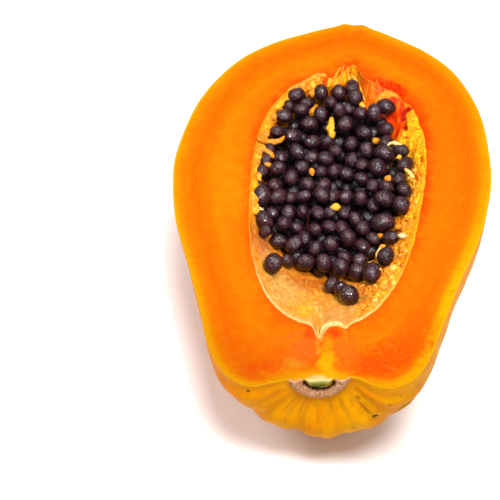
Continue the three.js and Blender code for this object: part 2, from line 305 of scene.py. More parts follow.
inner_angles = -(1 - np.cos(np.linspace(0, TURN / 2, INNER_COLUMNS))) / 2 * TURN / 2
at_edge = 1 - ease(0, 0.12, np.sin(-inner_angles))
inner_rise = rind_rise(r, y, inner_angles) * at_edge - 0.45 * (1 - at_edge) - SKIN_THICK
inner = rind_points(rows, facing, inner_angles, inner_rise)

pole_y = SCAR_FACE - STUB_RISE
tip_y = RIND_PROFILE[-1][1]
poles = np.array(
    [
        (bow(pole_y), pole_y, 0),
        (bow(tip_y), tip_y, 0),
        (bow(pole_y), pole_y + SKIN_THICK, 0),
        (bow(tip_y), tip_y - SKIN_THICK, 0),
    ]
)
skin_points = np.vstack([outer.reshape(-1, 3), inner.reshape(-1, 3), poles])
inner_start = count * SKIN_COLUMNS
pole = inner_start + count * INNER_COLUMNS
outer_first = np.arange(count) * SKIN_COLUMNS
outer_last = outer_first + SKIN_COLUMNS - 1
inner_first = inner_start + np.arange(count) * INNER_COLUMNS
inner_last = inner_first + INNER_COLUMNS - 1


def sheet_faces(first, rows, columns, flip=False):
    """Quads of an open sheet of points, row after row."""
    a = (first + np.arange(rows - 1)[:, None] * columns + np.arange(columns - 1)).ravel()
    quads = np.stack([a, a + 1, a + columns + 1, a + columns], -1)
    return quads[:, ::-1] if flip else quads


def end_fan(pole, row_start, columns, flip):
    here = row_start + np.arange(columns - 1)
    ends = (here, here + 1) if flip else (here + 1, here)
    return np.stack([np.full(columns - 1, pole), *ends], -1)


skin_faces = [
    sheet_faces(0, count, SKIN_COLUMNS, flip=True),
    sheet_faces(inner_start, count, INNER_COLUMNS),
    np.stack([outer_first[:-1], outer_first[1:], inner_first[1:], inner_first[:-1]], -1),
    np.stack([outer_last[1:], outer_last[:-1], inner_last[:-1], inner_last[1:]], -1),
    end_fan(pole, outer_first[0], SKIN_COLUMNS, True),
    end_fan(pole + 1, outer_first[-1], SKIN_COLUMNS, False),
    end_fan(pole + 2, inner_first[0], INNER_COLUMNS, False),
    end_fan(pole + 3, inner_first[-1], INNER_COLUMNS, True),
    np.array(
        [
            [pole, outer_first[0], inner_first[0], pole + 2],
            [pole + 2, inner_last[0], outer_last[0], pole],
            [pole + 1, pole + 3, inner_first[-1], outer_first[-1]],
            [pole + 1, outer_last[-1], inner_last[-1], pole + 3],
        ]
    ),
]

# The soft rind is flat where it rests.
laid = lay(skin_points)
laid[:, 2] = np.maximum(laid[:, 2], FLAT_LEVEL)
skin_points = (laid / MM - np.array(LIES_AT)) @ np.array(LAID)


def laid_mesh(name, points, faces, measures):
    """A mesh of points in the fruit's own frame, with each of the measures kept at every point."""
    mesh = bpy.data.meshes.new(name)
    mesh.from_pydata(lay(points).tolist(), [], [face for part in faces for face in part.tolist()])
    for label, values in measures.items():
        values = np.asarray(values, np.float32)
        kind, key = ("FLOAT_VECTOR", "vector") if values.ndim == 2 else ("FLOAT", "value")
        mesh.attributes.new(label, kind, "POINT").data.foreach_set(key, values.ravel())
    return mesh


def make_piece(name, points, faces, **measures):
    mesh = laid_mesh(name, points, faces, measures)
    mesh.shade_smooth()
    mesh.set_sharp_from_angle(angle=CREASE_ANGLE)
    return put_in_scene(name, mesh)


def over_skin(values):
    """A measure of the outer sheet. The hidden sheet takes it from the cut edge."""
    values = values * np.ones_like(outer_rise)
    at_cut = values[:, 0]
    return np.concatenate([values.ravel(), np.repeat(at_cut, INNER_COLUMNS), at_cut[[0, -1, 0, -1]]])


skin = make_piece(
    "papaya_skin",
    skin_points,
    skin_faces,
    plan=skin_points,
    cork=over_skin(cork),
    groove=over_skin(groove),
    stub=over_skin(stub),
    furrow=over_skin(furrow),
    from_axis=over_skin(r),
)

STUDIO_LEVEL = 2.58  # how much light falls on what faces up, where 1 turns pure white into full white


class Nodes:
    """Adds nodes to a tree. Each input is a value or another node's output."""

    def __init__(self, tree):
        self.tree = tree

    def node(self, kind, settings=None, **inputs):
        """Adds one node. An input goes by its label, or by _0 for the first socket, _1 for the next."""
        made = self.tree.nodes.new(kind)
        for key, value in (settings or {}).items():
            setattr(made, key, value)
        for key, value in inputs.items():
            socket = made.inputs[int(key[1:]) if key[0] == "_" else key.replace("_", " ")]
            if isinstance(value, bpy.types.NodeSocket):
                self.tree.links.new(value, socket)
            else:
                socket.default_value = value
        return made

    def calc(self, operation, first, second=0.0, clamp=False):
        settings = {"operation": operation, "use_clamp": clamp}
        return self.node("ShaderNodeMath", settings, _0=first, _1=second).outputs[0]

    def plus(self, first, second, clamp=False):
        return self.calc("ADD", first, second, clamp)

    def minus(self, first, second, clamp=False):
        return self.calc("SUBTRACT", first, second, clamp)

    def times(self, first, second, clamp=False):
        return self.calc("MULTIPLY", first, second, clamp)

    def share(self, first, second):
        return self.calc("DIVIDE", first, second)

    def vector(self, operation, first, second=(0, 0, 0), third=(0, 0, 0)):
        settings = {"operation": operation}
        return self.node("ShaderNodeVectorMath", settings, _0=first, _1=second, _2=third).outputs[0]

    def scaled(self, first, factor):
        return self.node("ShaderNodeVectorMath", {"operation": "SCALE"}, _0=first, Scale=factor).outputs[0]

    def parts(self, vector):
        return self.node("ShaderNodeSeparateXYZ", Vector=vector).outputs

    def mix(self, share, first, second):
        return self.node("ShaderNodeMix", {"data_type": "RGBA"}, _0=share, _6=first, _7=second).outputs[2]

    def span(self, value, low, high, to_low=0.0, to_high=1.0):
        """Value, from low to high, smoothly mapped to the other two."""
        settings = {"interpolation_type": "SMOOTHSTEP"}
        made = self.node("ShaderNodeMapRange", settings, _0=value, _1=low, _2=high, _3=to_low, _4=to_high)
        return made.outputs[0]

    def measure(self, label, output="Fac"):
        """A number kept at every point of the piece."""
        return self.node("ShaderNodeAttribute", {"attribute_name": label}).outputs[output]

    def place(self, label="plan"):
        """The place in the fruit's own frame, in mm."""
        return self.measure(label, "Vector")

    def noise(self, where, scale, detail):
        return self.node("ShaderNodeTexNoise", Vector=where, Scale=scale, Detail=detail).outputs[0]

    def cloud(self, where, size, detail=3.0, rough=0.55, stretch=(1, 1, 1)):
        """Soft random values round 0.5 that change over size mm."""
        scale = [1 / (size * s) for s in stretch]
        moved = self.node("ShaderNodeMapping", Vector=where, Scale=scale).outputs[0]
        made = self.node("ShaderNodeTexNoise", Vector=moved, Scale=1.0, Detail=detail, Roughness=rough)
        return made.outputs["Fac"]

    def cells(self, where, size):
        """Random spots about size mm apart: their Distance and Color."""
        moved = self.node("ShaderNodeMapping", Vector=where, Scale=(1 / size,) * 3).outputs[0]
        return self.node("ShaderNodeTexVoronoi", Vector=moved, Scale=1.0).outputs

    def pebbled(self, where, scale):
        """How far each place is from the middle of its pebble, with soft creases."""
        made = self.node("ShaderNodeTexVoronoi", {"feature": "SMOOTH_F1"}, Vector=where, Scale=scale)
        made.inputs["Smoothness"].default_value = 0.3
        return made.outputs[0]


class Finish(Nodes):
    """A material with a colour laid on in coats. surface gives what is the same all over."""

    def __init__(self, name, light=1.0, **surface):
        self.material = bpy.data.materials.new(name)
        self.material.use_nodes = True
        super().__init__(self.material.node_tree)
        self.shader = self.tree.nodes["Principled BSDF"]
        self.light = light  # share of the studio's light that reaches the piece
        self.colour = None
        for key, value in surface.items():
            self.shader.inputs[key.replace("_", " ")].default_value = value

    def feed(self, label, value):
        self.tree.links.new(value, self.shader.inputs[label])

    def shade(self, red, green, blue, light=None):
        """The finish that is seen as this colour, each part from 0 to 255, in that share of the light."""
        screen = np.array([red, green, blue]) / 255
        linear = np.where(screen <= 0.04045, screen / 12.92, ((screen + 0.055) / 1.055) ** 2.4)
        return (*np.minimum(linear / STUDIO_LEVEL / (light or self.light), 0.97).tolist(), 1.0)

    def over(self, share, colour):
        self.colour = self.mix(share, self.colour, colour)

    def paint(self, share, *colour):
        """Lays one more coat over the colour so far."""
        self.over(share, self.shade(*colour))

    def coats(self, ground, *more):
        """A colour in coats on a ground, each coat given by how far it covers and what it is."""
        colour = self.shade(*ground)
        for share, shade in more:
            colour = self.mix(share, colour, self.shade(*shade))
        return colour

    def stain(self, where, middle, size, colour, share, turn, soft, ragged):
        """Lays on an oval; middle and size are in mm on the plan, turn in degrees."""
        oval = self.node(
            "ShaderNodeGroup",
            {"node_tree": STAIN},
            Place=where,
            Middle=(*middle, 0),
            Across=size[0],
            Along=size[1],
            Turn=math.radians(turn),
            Soft=soft,
            Ragged=ragged,
        )
        self.over(self.times(oval.outputs["Mask"], share), self.shade(*colour))

    def bump(self, height, depth_mm, strength=1.0):
        made = self.node("ShaderNodeBump", Strength=strength, Distance=depth_mm * MM, Height=height)
        self.feed("Normal", made.outputs[0])
        self.feed("Coat Normal", made.outputs[0])


def new_group(name, kind, result, *inputs):
    """A node group with named inputs, each with its kind and what it is at first, and one result."""
    tree = bpy.data.node_groups.new(name, kind)
    for label, socket_kind, *value in inputs:
        socket = tree.interface.new_socket(label, in_out="INPUT", socket_type="NodeSocket" + socket_kind)
        if value:
            socket.default_value = value[0]
    tree.interface.new_socket(result[0], in_out="OUTPUT", socket_type="NodeSocket" + result[1])
    t = Nodes(tree)
    return t, t.node("NodeGroupInput").outputs


def stain_group():
    """A soft-edged oval on the fruit's plan, for patches and streaks of another colour."""
    t, given = new_group(
        "stain",
        "ShaderNodeTree",
        ("Mask", "Float"),
        ("Place", "Vector", (0, 0, 0)),
        ("Middle", "Vector", (0, 0, 0)),
        ("Across", "Float", 1),
        ("Along", "Float", 1),
        ("Turn", "Float", 0),
        ("Soft", "Float", 1),
        ("Ragged", "Float", 0.3),
    )
    offset = t.vector("SUBTRACT", given["Place"], given["Middle"])
    back = t.times(given["Turn"], -1)
    turned = t.node("ShaderNodeVectorRotate", {"rotation_type": "Z_AXIS"}, Vector=offset, Angle=back)
    parts = t.parts(turned.outputs[0])
    across = t.share(parts["X"], given["Across"])
    along = t.share(parts["Y"], given["Along"])
    square = t.plus(t.times(across, across), t.times(along, along))
    wobble = t.minus(t.cloud(given["Place"], 2.4, 5, 0.62), 0.5)
    wobble = t.times(wobble, t.times(given["Ragged"], 4))
    edge = t.share(t.minus(t.minus(1.0, t.calc("SQRT", square)), wobble), given["Soft"])
    t.node("NodeGroupOutput", Mask=t.span(edge, -0.5, 0.5))
    return t.tree


STAIN = stain_group()


def ripe_skin():
    t = Finish("ripe_skin", SKIN_LIGHT, Roughness=0.45, Specular_IOR_Level=0.015)
    where = t.place()
    parts = t.parts(where)
    broad = t.cloud(where, 20, 3)
    patchy = t.cloud(where, 7, 4, 0.6)
    fine = t.cloud(where, 2.2, 5, 0.65)
    t.colour = t.coats((250, 166, 2), (t.span(broad, 0.35, 0.65), (244, 146, 2)))
    t.paint(t.span(patchy, 0.42, 0.66, 0, 0.5), 253, 184, 3)
    t.paint(t.span(fine, 0.5, 0.75, 0, 0.35), 236, 140, 4)
    # The left side is the riper one.
    left = t.times(t.span(parts["X"], -8, -34), 0.75)
    t.paint(left, 255, 140, 2)
    # Darker along the furrows near the stem, most towards the middle.
    green = t.times(t.measure("furrow"), t.span(patchy, 0.35, 0.6, 0.35, 1.0), True)
    green = t.times(green, t.span(t.calc("ABSOLUTE", parts["X"]), 24, 14, 0.15, 0.75))
    t.paint(green, 204, 136, 14)
    dull = t.times(t.span(t.cloud(where, 4, 4, 0.7), 0.52, 0.66), t.span(parts["Y"], -55, -74))
    t.paint(t.times(dull, 0.6), 214, 146, 12)
    # Brown specks of several sizes, most of them near the stem.
    for size, reach, rare, share in (
        (1.5, 0.17, 0.66, 0.55),
        (2.6, 0.15, 0.7, 0.7),
        (4.5, 0.12, 0.76, 0.8),
        (9.0, 0.07, 0.8, 0.85),
    ):
        dots = t.cells(where, size)
        chance = t.node("ShaderNodeSeparateColor", Color=dots["Color"]).outputs[0]
        speck = t.times(t.span(dots["Distance"], reach * 0.4, reach, 1, 0), t.span(chance, rare, rare + 0.04))
        t.paint(t.times(speck, share), 112, 66, 16)
    # A bruised streak under the right shoulder and a few dots, placed as they are seen from the stem end.
    # Past the neck that view is moved out of the way, so that none of them shows on the far end.
    past_neck = t.times(t.calc("GREATER_THAN", parts["Y"], -30), 200)
    front_view = t.node("ShaderNodeCombineXYZ", X=t.plus(parts["X"], past_neck), Y=parts["Z"]).outputs[0]
    for middle, size, shade, share, turn in (
        ((14.6, -11.8), (0.6, 3.2), (130, 90, 16), 0.6, 45),
        ((18.0, -15.2), (0.9, 0.7), (70, 44, 12), 0.95, 20),
        ((10.0, -10.6), (0.5, 1.8), (150, 104, 22), 0.4, 40),
        ((12.2, -8.2), (0.8, 0.6), (120, 76, 14), 0.6, 0),
        ((7.0, -11.8), (0.6, 2.4), (160, 112, 24), 0.4, 25),
        ((-5.4, -12.0), (0.4, 2.2), (170, 116, 24), 0.5, -25),
        ((-9.5, -10.4), (0.4, 2.4), (170, 116, 26), 0.5, -42),
        ((-1.2, -12.2), (0.35, 1.6), (170, 116, 24), 0.4, -6),
        ((3.4, -12.4), (0.35, 1.8), (170, 116, 24), 0.4, 14),
        ((-22.7, -2.5), (0.5, 0.5), (90, 56, 14), 0.9, 0),
        ((-4.5, -22.7), (0.5, 0.4), (96, 60, 14), 0.8, 0),
        ((11.6, -20.4), (0.5, 0.5), (96, 60, 14), 0.8, 0),
        ((22.1, -7.6), (0.8, 0.4), (110, 70, 16), 0.7, 30),
    ):
        t.stain(front_view, middle, size, shade, share, turn, 1.2, 0.5)
    # Brown skin round the cork.
    round_cork = t.span(t.plus(t.measure("from_axis"), t.times(patchy, 5)), 10.6, 14.5, 1, 0)
    round_cork = t.times(round_cork, t.span(parts["Y"], -70, -74))
    t.paint(t.times(round_cork, 0.75), 200, 116, 26)
    # The cut edge, seen on the face.
    t.paint(t.span(parts["Z"], -0.7, -0.15), 254, 176, 10, 1)
    # The scar. The stub is cream where the knife cut it, pale green below that, and painted darker towards
    # its foot: painted shade where it goes down into the groove.
    stub_colour = t.coats(
        (160, 158, 52),
        (t.span(fine, 0.4, 0.6), (130, 134, 38)),
        (t.span(parts["Z"], -1.8, -0.9), (182, 180, 76)),
        (t.span(parts["Z"], -1.0, -0.35), (250, 232, 150, 0.9)),
        (t.span(parts["Z"], -1.8, -3.0), (64, 66, 18)),
    )
    t.over(t.measure("stub"), stub_colour)
    cork_dots = t.cells(where, 0.5)["Distance"]
    cork_colour = t.coats(
        (246, 204, 166),
        (t.span(cork_dots, 0.2, 0.6), (198, 134, 92)),
        (t.span(fine, 0.45, 0.65, 0, 0.5), (176, 116, 58)),
    )
    t.over(t.measure("cork"), cork_colour)
    # The groove between the stub and the cork is painted near-black brown: painted shade of the gap.
    t.paint(t.measure("groove"), 46, 30, 10)
    t.feed("Base Color", t.colour)
    dry = t.plus(t.measure("cork"), t.measure("groove"), True)
    rough = t.plus(t.times(dry, 0.4), t.span(fine, 0.3, 0.7, 0.38, 0.52))
    t.feed("Roughness", rough)
    t.bump(t.cloud(where, 0.9, 4, 0.6), 0.12, 0.6)
    return t.material


skin.data.materials.append(ripe_skin())
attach(skin, "root")
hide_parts("papaya_half")

# ---- Flesh ----
# Firm, moist orange flesh, cut flat with a knife. It is paler under the skin and redder round the hollow, and
# torn beside the hollow's point. It is one body with the skin, and ends where the skin's cut edge begins.
HOLLOW_Y = 2.8
HOLLOW_HALF_WIDTH = 30
HOLLOW_HALF_LENGTH = 57.7
HOLLOW_POWER = 2.57
HOLLOW_TAPER = 0.0022
HOLLOW_LEAN = 0.029
HOLLOW_SHIFT = 0.5
HOLLOW_DEPTH = 30
BOWL_POWER = 2.2  # a higher power gives a flatter floor and a steeper wall
SLOPE_DEPTH = 26
SLOPE_POWER = 1.2
STEEP_SIDE = 0.62
GENTLE_SIDE = 1.25
RIM_CLEFTS = [
    (89, 7.5, 3.0),  # the pointed top of the hollow, as direction, reach in mm, and width in degrees
    (-90.4, 5.2, 2.2),  # the cleft towards the stem
    (-81, 1.6, 1.6),
]
TORN_WAY = 67  # the direction, in degrees, in which the rim is torn down
TORN_SPREAD = 17
TORN_SINK = 2.6
TORN_AT = (17.5, 58.6)  # middle of the torn patch
TORN_PATCH_DEPTH = 1.5
FIBRE_RISE = 0.55
KNIFE_WAVE, KNIFE_RIPPLE = 0.10, 0.04
FLESH_COLUMNS = 620
FACE_ROWS = 44
WALL_ROWS = 26
BELLY_ROWS = 14
BELLY_ENDS = (-73, 75)  # where the hidden underside ends, behind the stem scar and the blossom end
BELLY_INSET = 1.5
BELLY_FULL = 0.94  # share of the body's depth that it reaches


def hollow_plan(u, v):
    return np.stack([HOLLOW_SHIFT + HOLLOW_LEAN * v + u * (1 + HOLLOW_TAPER * v), HOLLOW_Y + v], -1)


def hollow_share(x, y):
    v = y - HOLLOW_Y
    u = (x - HOLLOW_SHIFT - HOLLOW_LEAN * v) / (1 + HOLLOW_TAPER * v)
    total = np.abs(u / HOLLOW_HALF_WIDTH) ** HOLLOW_POWER + np.abs(v / HOLLOW_HALF_LENGTH) ** HOLLOW_POWER
    return total ** (1 / HOLLOW_POWER)


def wall_height(share, x, y):
    nearness = 1 - ease(-28, 14, y)
    power = STEEP_SIDE + (GENTLE_SIDE - STEEP_SIDE) * ease(0, 26, x)
    bowl = HOLLOW_DEPTH * np.maximum(0, 1 - share**BOWL_POWER) ** power
    slope = SLOPE_DEPTH * np.maximum(0, 1 - share**SLOPE_POWER)
    return -(bowl + (slope - bowl) * nearness)


even_ways = np.arange(FLESH_COLUMNS) / FLESH_COLUMNS * TURN
ways = even_ways + 0.25 * np.sin(2 * even_ways)  # closer together at both ends
way_degrees = np.degrees(np.arctan2(np.sin(ways), np.cos(ways)))
torn_rim = bell((way_degrees - TORN_WAY) / TORN_SPREAD) * (1 - ease(76, 84, way_degrees))


def hollow_ring(share, inset=0.0):
    """Points of the hollow's wall, or of its rim at a share of 1, drawn in by inset mm."""
    c, s = np.cos(ways), np.sin(ways)
    total = np.abs(c / HOLLOW_HALF_WIDTH) ** HOLLOW_POWER + np.abs(s / HOLLOW_HALF_LENGTH) ** HOLLOW_POWER
    radius = total ** (-1 / HOLLOW_POWER)
    cleft = sum(reach * bell((way_degrees - way) / width) for way, reach, width in RIM_CLEFTS)
    scale = share * (1 + (cleft * share**3 - inset) / radius)
    plan = hollow_plan(radius * c * scale, radius * s * scale)
    depth = wall_height(share, plan[:, 0], plan[:, 1]) - TORN_SINK * torn_rim * share**10
    return np.column_stack([plan, depth])


def distance_to(points, line):
    """How far each point lies from a dense line of points, on the plan."""
    near = np.empty(len(points))
    for start in range(0, len(points), 4000):
        part = points[start : start + 4000, None, :2] - line[None, :, :2]
        near[start : start + 4000] = np.sqrt((part**2).sum(-1).min(1))
    return near


skin_edge = np.vstack([poles[2], inner[:, 0], poles[3], inner[::-1, -1]])[:, :2]
middle = hollow_plan(0.0, 0.0)
spoke = skin_edge - middle
edge_ways = np.arctan2(spoke[:, 1], spoke[:, 0])
edge_reach = np.hypot(spoke[:, 0], spoke[:, 1])
order = np.argsort(edge_ways)
rim = hollow_ring(1.0)
rim[:, 2] = 0
rim_wobble = 0.2 * wander(rim, 2.5, 8) + 0.3 * wander(rim, 7, 9) + torn_rim * 1.4 * wander(rim, 4, 10)
out_of_rim = rim[:, :2] - middle
rim_way = np.arctan2(out_of_rim[:, 1], out_of_rim[:, 0])
out_unit = out_of_rim / np.linalg.norm(out_of_rim, axis=1)[:, None]
rim[:, :2] += out_unit * rim_wobble[:, None]
reach = np.interp(rim_way, edge_ways[order], edge_reach[order], period=TURN)
outside = np.column_stack([middle + out_unit * reach[:, None], np.zeros(FLESH_COLUMNS)])

row_share = np.linspace(0, 1, FACE_ROWS)
row_share = row_share - 0.55 * np.sin(TURN * row_share) / TURN
face = rim[None] + (outside - rim)[None] * row_share[:, None, None]
flat_face = face.reshape(-1, 3)
from_rim = distance_to(flat_face, rim)
skin_line = smooth_line(np.vstack([skin_edge, skin_edge[:1]]), np.linspace(0, 1, 2400))
from_skin = distance_to(flat_face, skin_line)
# The knife left slight waves, and the flesh beside the hollow's point has torn away in fibres.
torn_x = flat_face[:, 0] - TORN_AT[0]
torn_y = flat_face[:, 1] - TORN_AT[1] + 0.3 * torn_x
torn_patch = bell(torn_x / 6.8) * bell(torn_y / 3.8)
torn_edge = np.tile(torn_rim, FACE_ROWS) * np.exp(-from_rim / 3.4)
calm = ease(0, 2.5, from_skin)
fibres = wander(np.column_stack([torn_x + 0.25 * torn_y, torn_y, 0 * torn_x]), (1.3, 5, 1), 12)
flat_face[:, 2] = (
    KNIFE_WAVE * wander(flat_face, 16, 10) * calm
    + KNIFE_RIPPLE * wander(flat_face, 2.2, 11) * calm
    - 0.12 * (1 - ease(0, 1.0, from_rim))
    - TORN_PATCH_DEPTH * torn_patch * calm
    - TORN_SINK * torn_edge
    + FIBRE_RISE * np.maximum(torn_patch, torn_edge) * fibres
)
face = flat_face.reshape(face.shape)

wall_shares = 1 - np.linspace(0, 1, WALL_ROWS, endpoint=False)[1:] ** 1.8
wall = np.array([hollow_ring(s) for s in wall_shares])
floor_point = np.array([[*middle, -HOLLOW_DEPTH]])
rind_line = smooth_line(RIND_PROFILE, np.linspace(0, 1, 800))
belly_steps = np.arange(-80, 90, 0.5)
belly_radius = np.array([rind_line[np.abs(rind_line[:, 1] - step) < 0.9, 0].max() for step in belly_steps])


def belly_under(plan):
    """The flesh's hidden underside below places on the plan, a little inside the skin."""
    x, y = plan[:, 0], np.clip(plan[:, 1], *BELLY_ENDS)
    radius = np.interp(y, belly_steps, belly_radius)
    across = x - bow(y)
    down = BELLY_FULL * np.sqrt(np.clip(1 - (across / radius) ** 2, 0, 1))
    depth = (radius - BELLY_INSET) * down
    return np.column_stack([bow(y) + across * (1 - DRAW * down**2) + LEAN * depth, y, -depth])


belly_shares = np.cos(np.linspace(0, TURN / 4, BELLY_ROWS, endpoint=False))[1:]
belly = [belly_under(middle + (outside[:, :2] - middle) * share) for share in belly_shares]
belly_bottom = belly_under(middle[None])

flesh_points = np.vstack([floor_point, *wall[::-1], flat_face, *belly, belly_bottom])
rings = len(wall) + FACE_ROWS + len(belly)
last = len(flesh_points) - 1


def ring_faces(first, rings, columns):
    """Quads between rings of points that follow each other, each ring closed on itself."""
    row = first + np.arange(rings - 1)[:, None] * columns
    here = np.arange(columns)
    after = (here + 1) % columns
    return np.stack([row + here, row + after, row + columns + after, row + columns + here], -1).reshape(-1, 4)


def fan_faces(pole, first, columns, flip=False):
    """Triangles from a pole to a closed ring of points."""
    here = first + np.arange(columns)
    after = first + (np.arange(columns) + 1) % columns
    ends = (here, after) if flip else (after, here)
    return np.stack([np.full(columns, pole), *ends], -1)


flesh_faces = [
    ring_faces(1, rings, FLESH_COLUMNS)[:, ::-1],
    fan_faces(0, 1, FLESH_COLUMNS, flip=True),
    fan_faces(last, 1 + (rings - 1) * FLESH_COLUMNS, FLESH_COLUMNS),
]


def over_face(values, on_wall, below):
    """A measure of the cut face, with one value for the hollow's wall and one for the hidden underside."""
    before = np.full(1 + len(wall) * FLESH_COLUMNS, on_wall)
    return np.concatenate([before, values, np.full(len(belly) * FLESH_COLUMNS + 1, below)])


flesh = make_piece(
    "papaya_flesh",
    flesh_points,
    flesh_faces,
    plan=flesh_points,
    from_rim=over_face(from_rim, 0.0, 30.0),
    from_skin=over_face(from_skin, 30.0, 0.0),
    torn=over_face(np.maximum(torn_patch, 0.5 * torn_edge), 0.0, 0.0),
)


def ramp(t, value, stops):
    """A colour for each distance, as [distance, colour], from 0 to the last distance."""
    reach = stops[-1][0]
    made = t.node("ShaderNodeValToRGB", _0=t.share(value, reach))
    made.color_ramp.interpolation = "EASE"
    points = made.color_ramp.elements
    while len(points) < len(stops):
        points.new(0.5)
    for point, (distance, shade) in zip(points, stops):
        point.position = distance / reach
        point.color = t.shade(*shade)
    return made.outputs["Color"]


def cut_flesh():
    t = Finish("cut_flesh", Roughness=0.5, Specular_IOR_Level=0.01)
    where = t.place()
    flat = t.vector("MULTIPLY", where, (1, 1, 0))
    parts = t.parts(where)
    broad = t.minus(t.cloud(flat, 13, 3), 0.5)
    mottle = t.cloud(flat, 3.5, 5, 0.62)
    grain = t.cloud(flat, 0.9, 3, 0.6)
    skin_way = t.plus(t.measure("from_skin"), t.times(broad, 4.0))
    rim_way = t.plus(t.measure("from_rim"), t.times(broad, 9.0))
    rim_way = t.plus(rim_way, t.times(t.minus(mottle, 0.5), 5.0))
    t.colour = ramp(
        t,
        skin_way,
        [
            (0.0, (252, 158, 3)),
            (1.5, (253, 140, 2)),
            (4.0, (254, 124, 1)),
            (7.0, (252, 110, 1)),
            (10.5, (253, 118, 1)),
            (14.0, (254, 130, 2)),
            (20.0, (254, 131, 2)),
        ],
    )
    # A bright yellow line under the skin, broadest at the lower right.
    low_half = t.span(parts["Y"], -52, 2, 1, 0.25)
    breadth = t.span(parts["X"], -20, 30, 1.9, 3.6)
    line_way = t.share(t.measure("from_skin"), breadth)
    band = t.times(t.span(line_way, 0.35, 1.1, 1, 0), low_half)
    band = t.times(band, t.span(parts["X"], -34, 4, 0.5, 0.95))
    t.paint(band, 254, 180, 4)
    # The right side is redder.
    right = t.times(t.span(parts["X"], 5, 38), t.span(parts["Y"], 70, 25))
    right = t.times(right, t.span(mottle, 0.2, 0.8, 0.35, 0.85))
    right = t.times(right, t.span(t.measure("from_skin"), 1.5, 6.5))
    t.paint(right, 253, 103, 2)
    # Redder towards the hollow.
    t.paint(t.span(rim_way, 10.0, 3.5, 0, 0.6), 254, 106, 3)
    t.paint(t.span(rim_way, 3.6, 0.4, 0, 0.6), 252, 86, 5)
    blush = t.times(t.span(t.cloud(flat, 9, 3, 0.6), 0.36, 0.54), t.span(parts["Y"], -30, -5))
    blush = t.times(blush, t.span(t.plus(t.measure("from_rim"), t.times(mottle, 3.0)), 5.6, 1.6))
    t.paint(t.times(blush, 0.8), 251, 62, 2)
    # Patches and streaks.
    for middle_at, size, shade, share, turn, soft, ragged in (
        ((-17.5, -74.5), (7.5, 3.6), (252, 84, 4), 0.8, 6, 1.3, 0.5),
        ((-19, -66), (9, 5), (254, 108, 3), 0.5, 0, 1.4, 0.5),
        ((-6.5, -64.5), (4, 6), (252, 104, 36), 0.65, 0, 1.4, 1.0),
        ((-4.6, -57.6), (1.6, 2.6), (250, 70, 10), 0.8, -8, 1.3, 0.4),
        ((22, -64.5), (11.5, 5.5), (254, 84, 2), 0.85, 30, 1.2, 0.6),
        ((14.5, -71.5), (6, 4), (254, 82, 2), 0.75, 10, 1.3, 0.6),
        ((30, -54), (6, 9), (253, 96, 2), 0.6, -20, 1.4, 0.5),
        ((-32, 2), (7, 14), (255, 142, 3), 0.5, 0, 1.6, 0.5),
        ((-28.5, 16), (2.2, 17), (250, 80, 4), 0.75, -4, 1.6, 0.9),
        ((-26, -42), (4, 12), (255, 134, 4), 0.5, 12, 1.6, 0.5),
        ((2.9, -57.6), (2.4, 1.9), (250, 62, 8), 0.95, -20, 1.1, 0.3),
        ((6.5, -65), (4.5, 5.5), (253, 116, 26), 0.6, 0, 1.3, 0.7),
        ((-2, -76.5), (14, 2.6), (254, 166, 4), 0.8, -2, 1.2, 0.5),
        ((12.5, -76), (7, 1.8), (254, 158, 4), 0.7, 2, 1.2, 0.5),
        ((-9.4, -71.2), (3.0, 2.2), (246, 176, 36), 0.5, 10, 1.6, 1.0),
        ((1.6, -70.6), (2.4, 5.5), (255, 190, 4), 0.8, -3, 1.5, 0.7),
        ((1.0, -69.4), (1.7, 3.0), (255, 204, 10), 0.85, 0, 1.6, 0.6),
        ((0.4, -74.6), (6.0, 2.0), (255, 192, 10), 0.6, 0, 1.5, 0.6),
        ((1.4, -65.0), (1.6, 6.0), (255, 166, 6), 0.6, 2, 1.5, 0.8),
        ((-1.9, -62.5), (0.5, 5.5), (254, 186, 50), 0.4, 6, 1.6, 1.2),
        ((-0.9, -59.6), (0.7, 1.8), (253, 190, 70), 0.6, 0, 1.3, 0.4),
        ((6.6, -57.0), (0.6, 3.0), (254, 166, 44), 0.35, 14, 1.6, 1.2),
        ((0.4, -77.2), (7.4, 1.1), (253, 226, 140), 0.95, 0, 1.1, 0.2),
        ((-0.6, -76.0), (2.8, 1.3), (252, 232, 150), 0.9, 0, 1.2, 0.3),
        ((6.5, 62.5), (5.0, 4.5), (250, 84, 8), 0.7, -30, 1.5, 0.6),
        ((-17, 47), (4, 13), (253, 104, 6), 0.5, 32, 1.4, 0.7),
        ((-25, 28), (3, 14), (253, 110, 4), 0.5, 8, 1.4, 0.7),
        ((26.5, 50), (3.5, 7), (252, 78, 3), 0.6, 28, 1.3, 0.6),
        ((9.5, 65), (5, 3), (252, 82, 4), 0.5, -30, 1.3, 0.6),
        ((-4.5, 64), (4, 2.2), (252, 86, 6), 0.6, 18, 1.3, 0.6),
        ((-27, -14), (1.6, 7), (250, 74, 6), 0.6, 4, 1.2, 0.6),
    ):
        t.stain(flat, middle_at, size, shade, share, turn, soft, ragged)
    # Torn flesh is wet and deep red, with paler strands.
    torn = t.span(t.plus(t.measure("torn"), t.times(t.minus(mottle, 0.5), 0.5)), 0.22, 0.6)
    strand = t.cloud(flat, 0.9, 3, 0.6, (1, 6, 1))
    torn_colour = t.coats((232, 26, 2), (t.span(strand, 0.45, 0.68), (252, 86, 10)))
    t.over(torn, torn_colour)
    # Pale flecks and short curved fibres where the strands come together at the stem.
    near = t.times(t.span(parts["Y"], -54, -64), t.span(t.measure("from_skin"), 2, 5))
    swirl = t.node("ShaderNodeTexNoise", Vector=flat, Scale=0.12, Detail=2.0).outputs["Color"]
    swirled = t.vector("MULTIPLY_ADD", swirl, (14, 14, 0), flat)
    fleck = t.span(t.cloud(swirled, 0.9, 3, 0.65, (2.4, 1, 1)), 0.56, 0.72)
    t.paint(t.times(t.times(fleck, near), 0.55), 255, 150, 64)
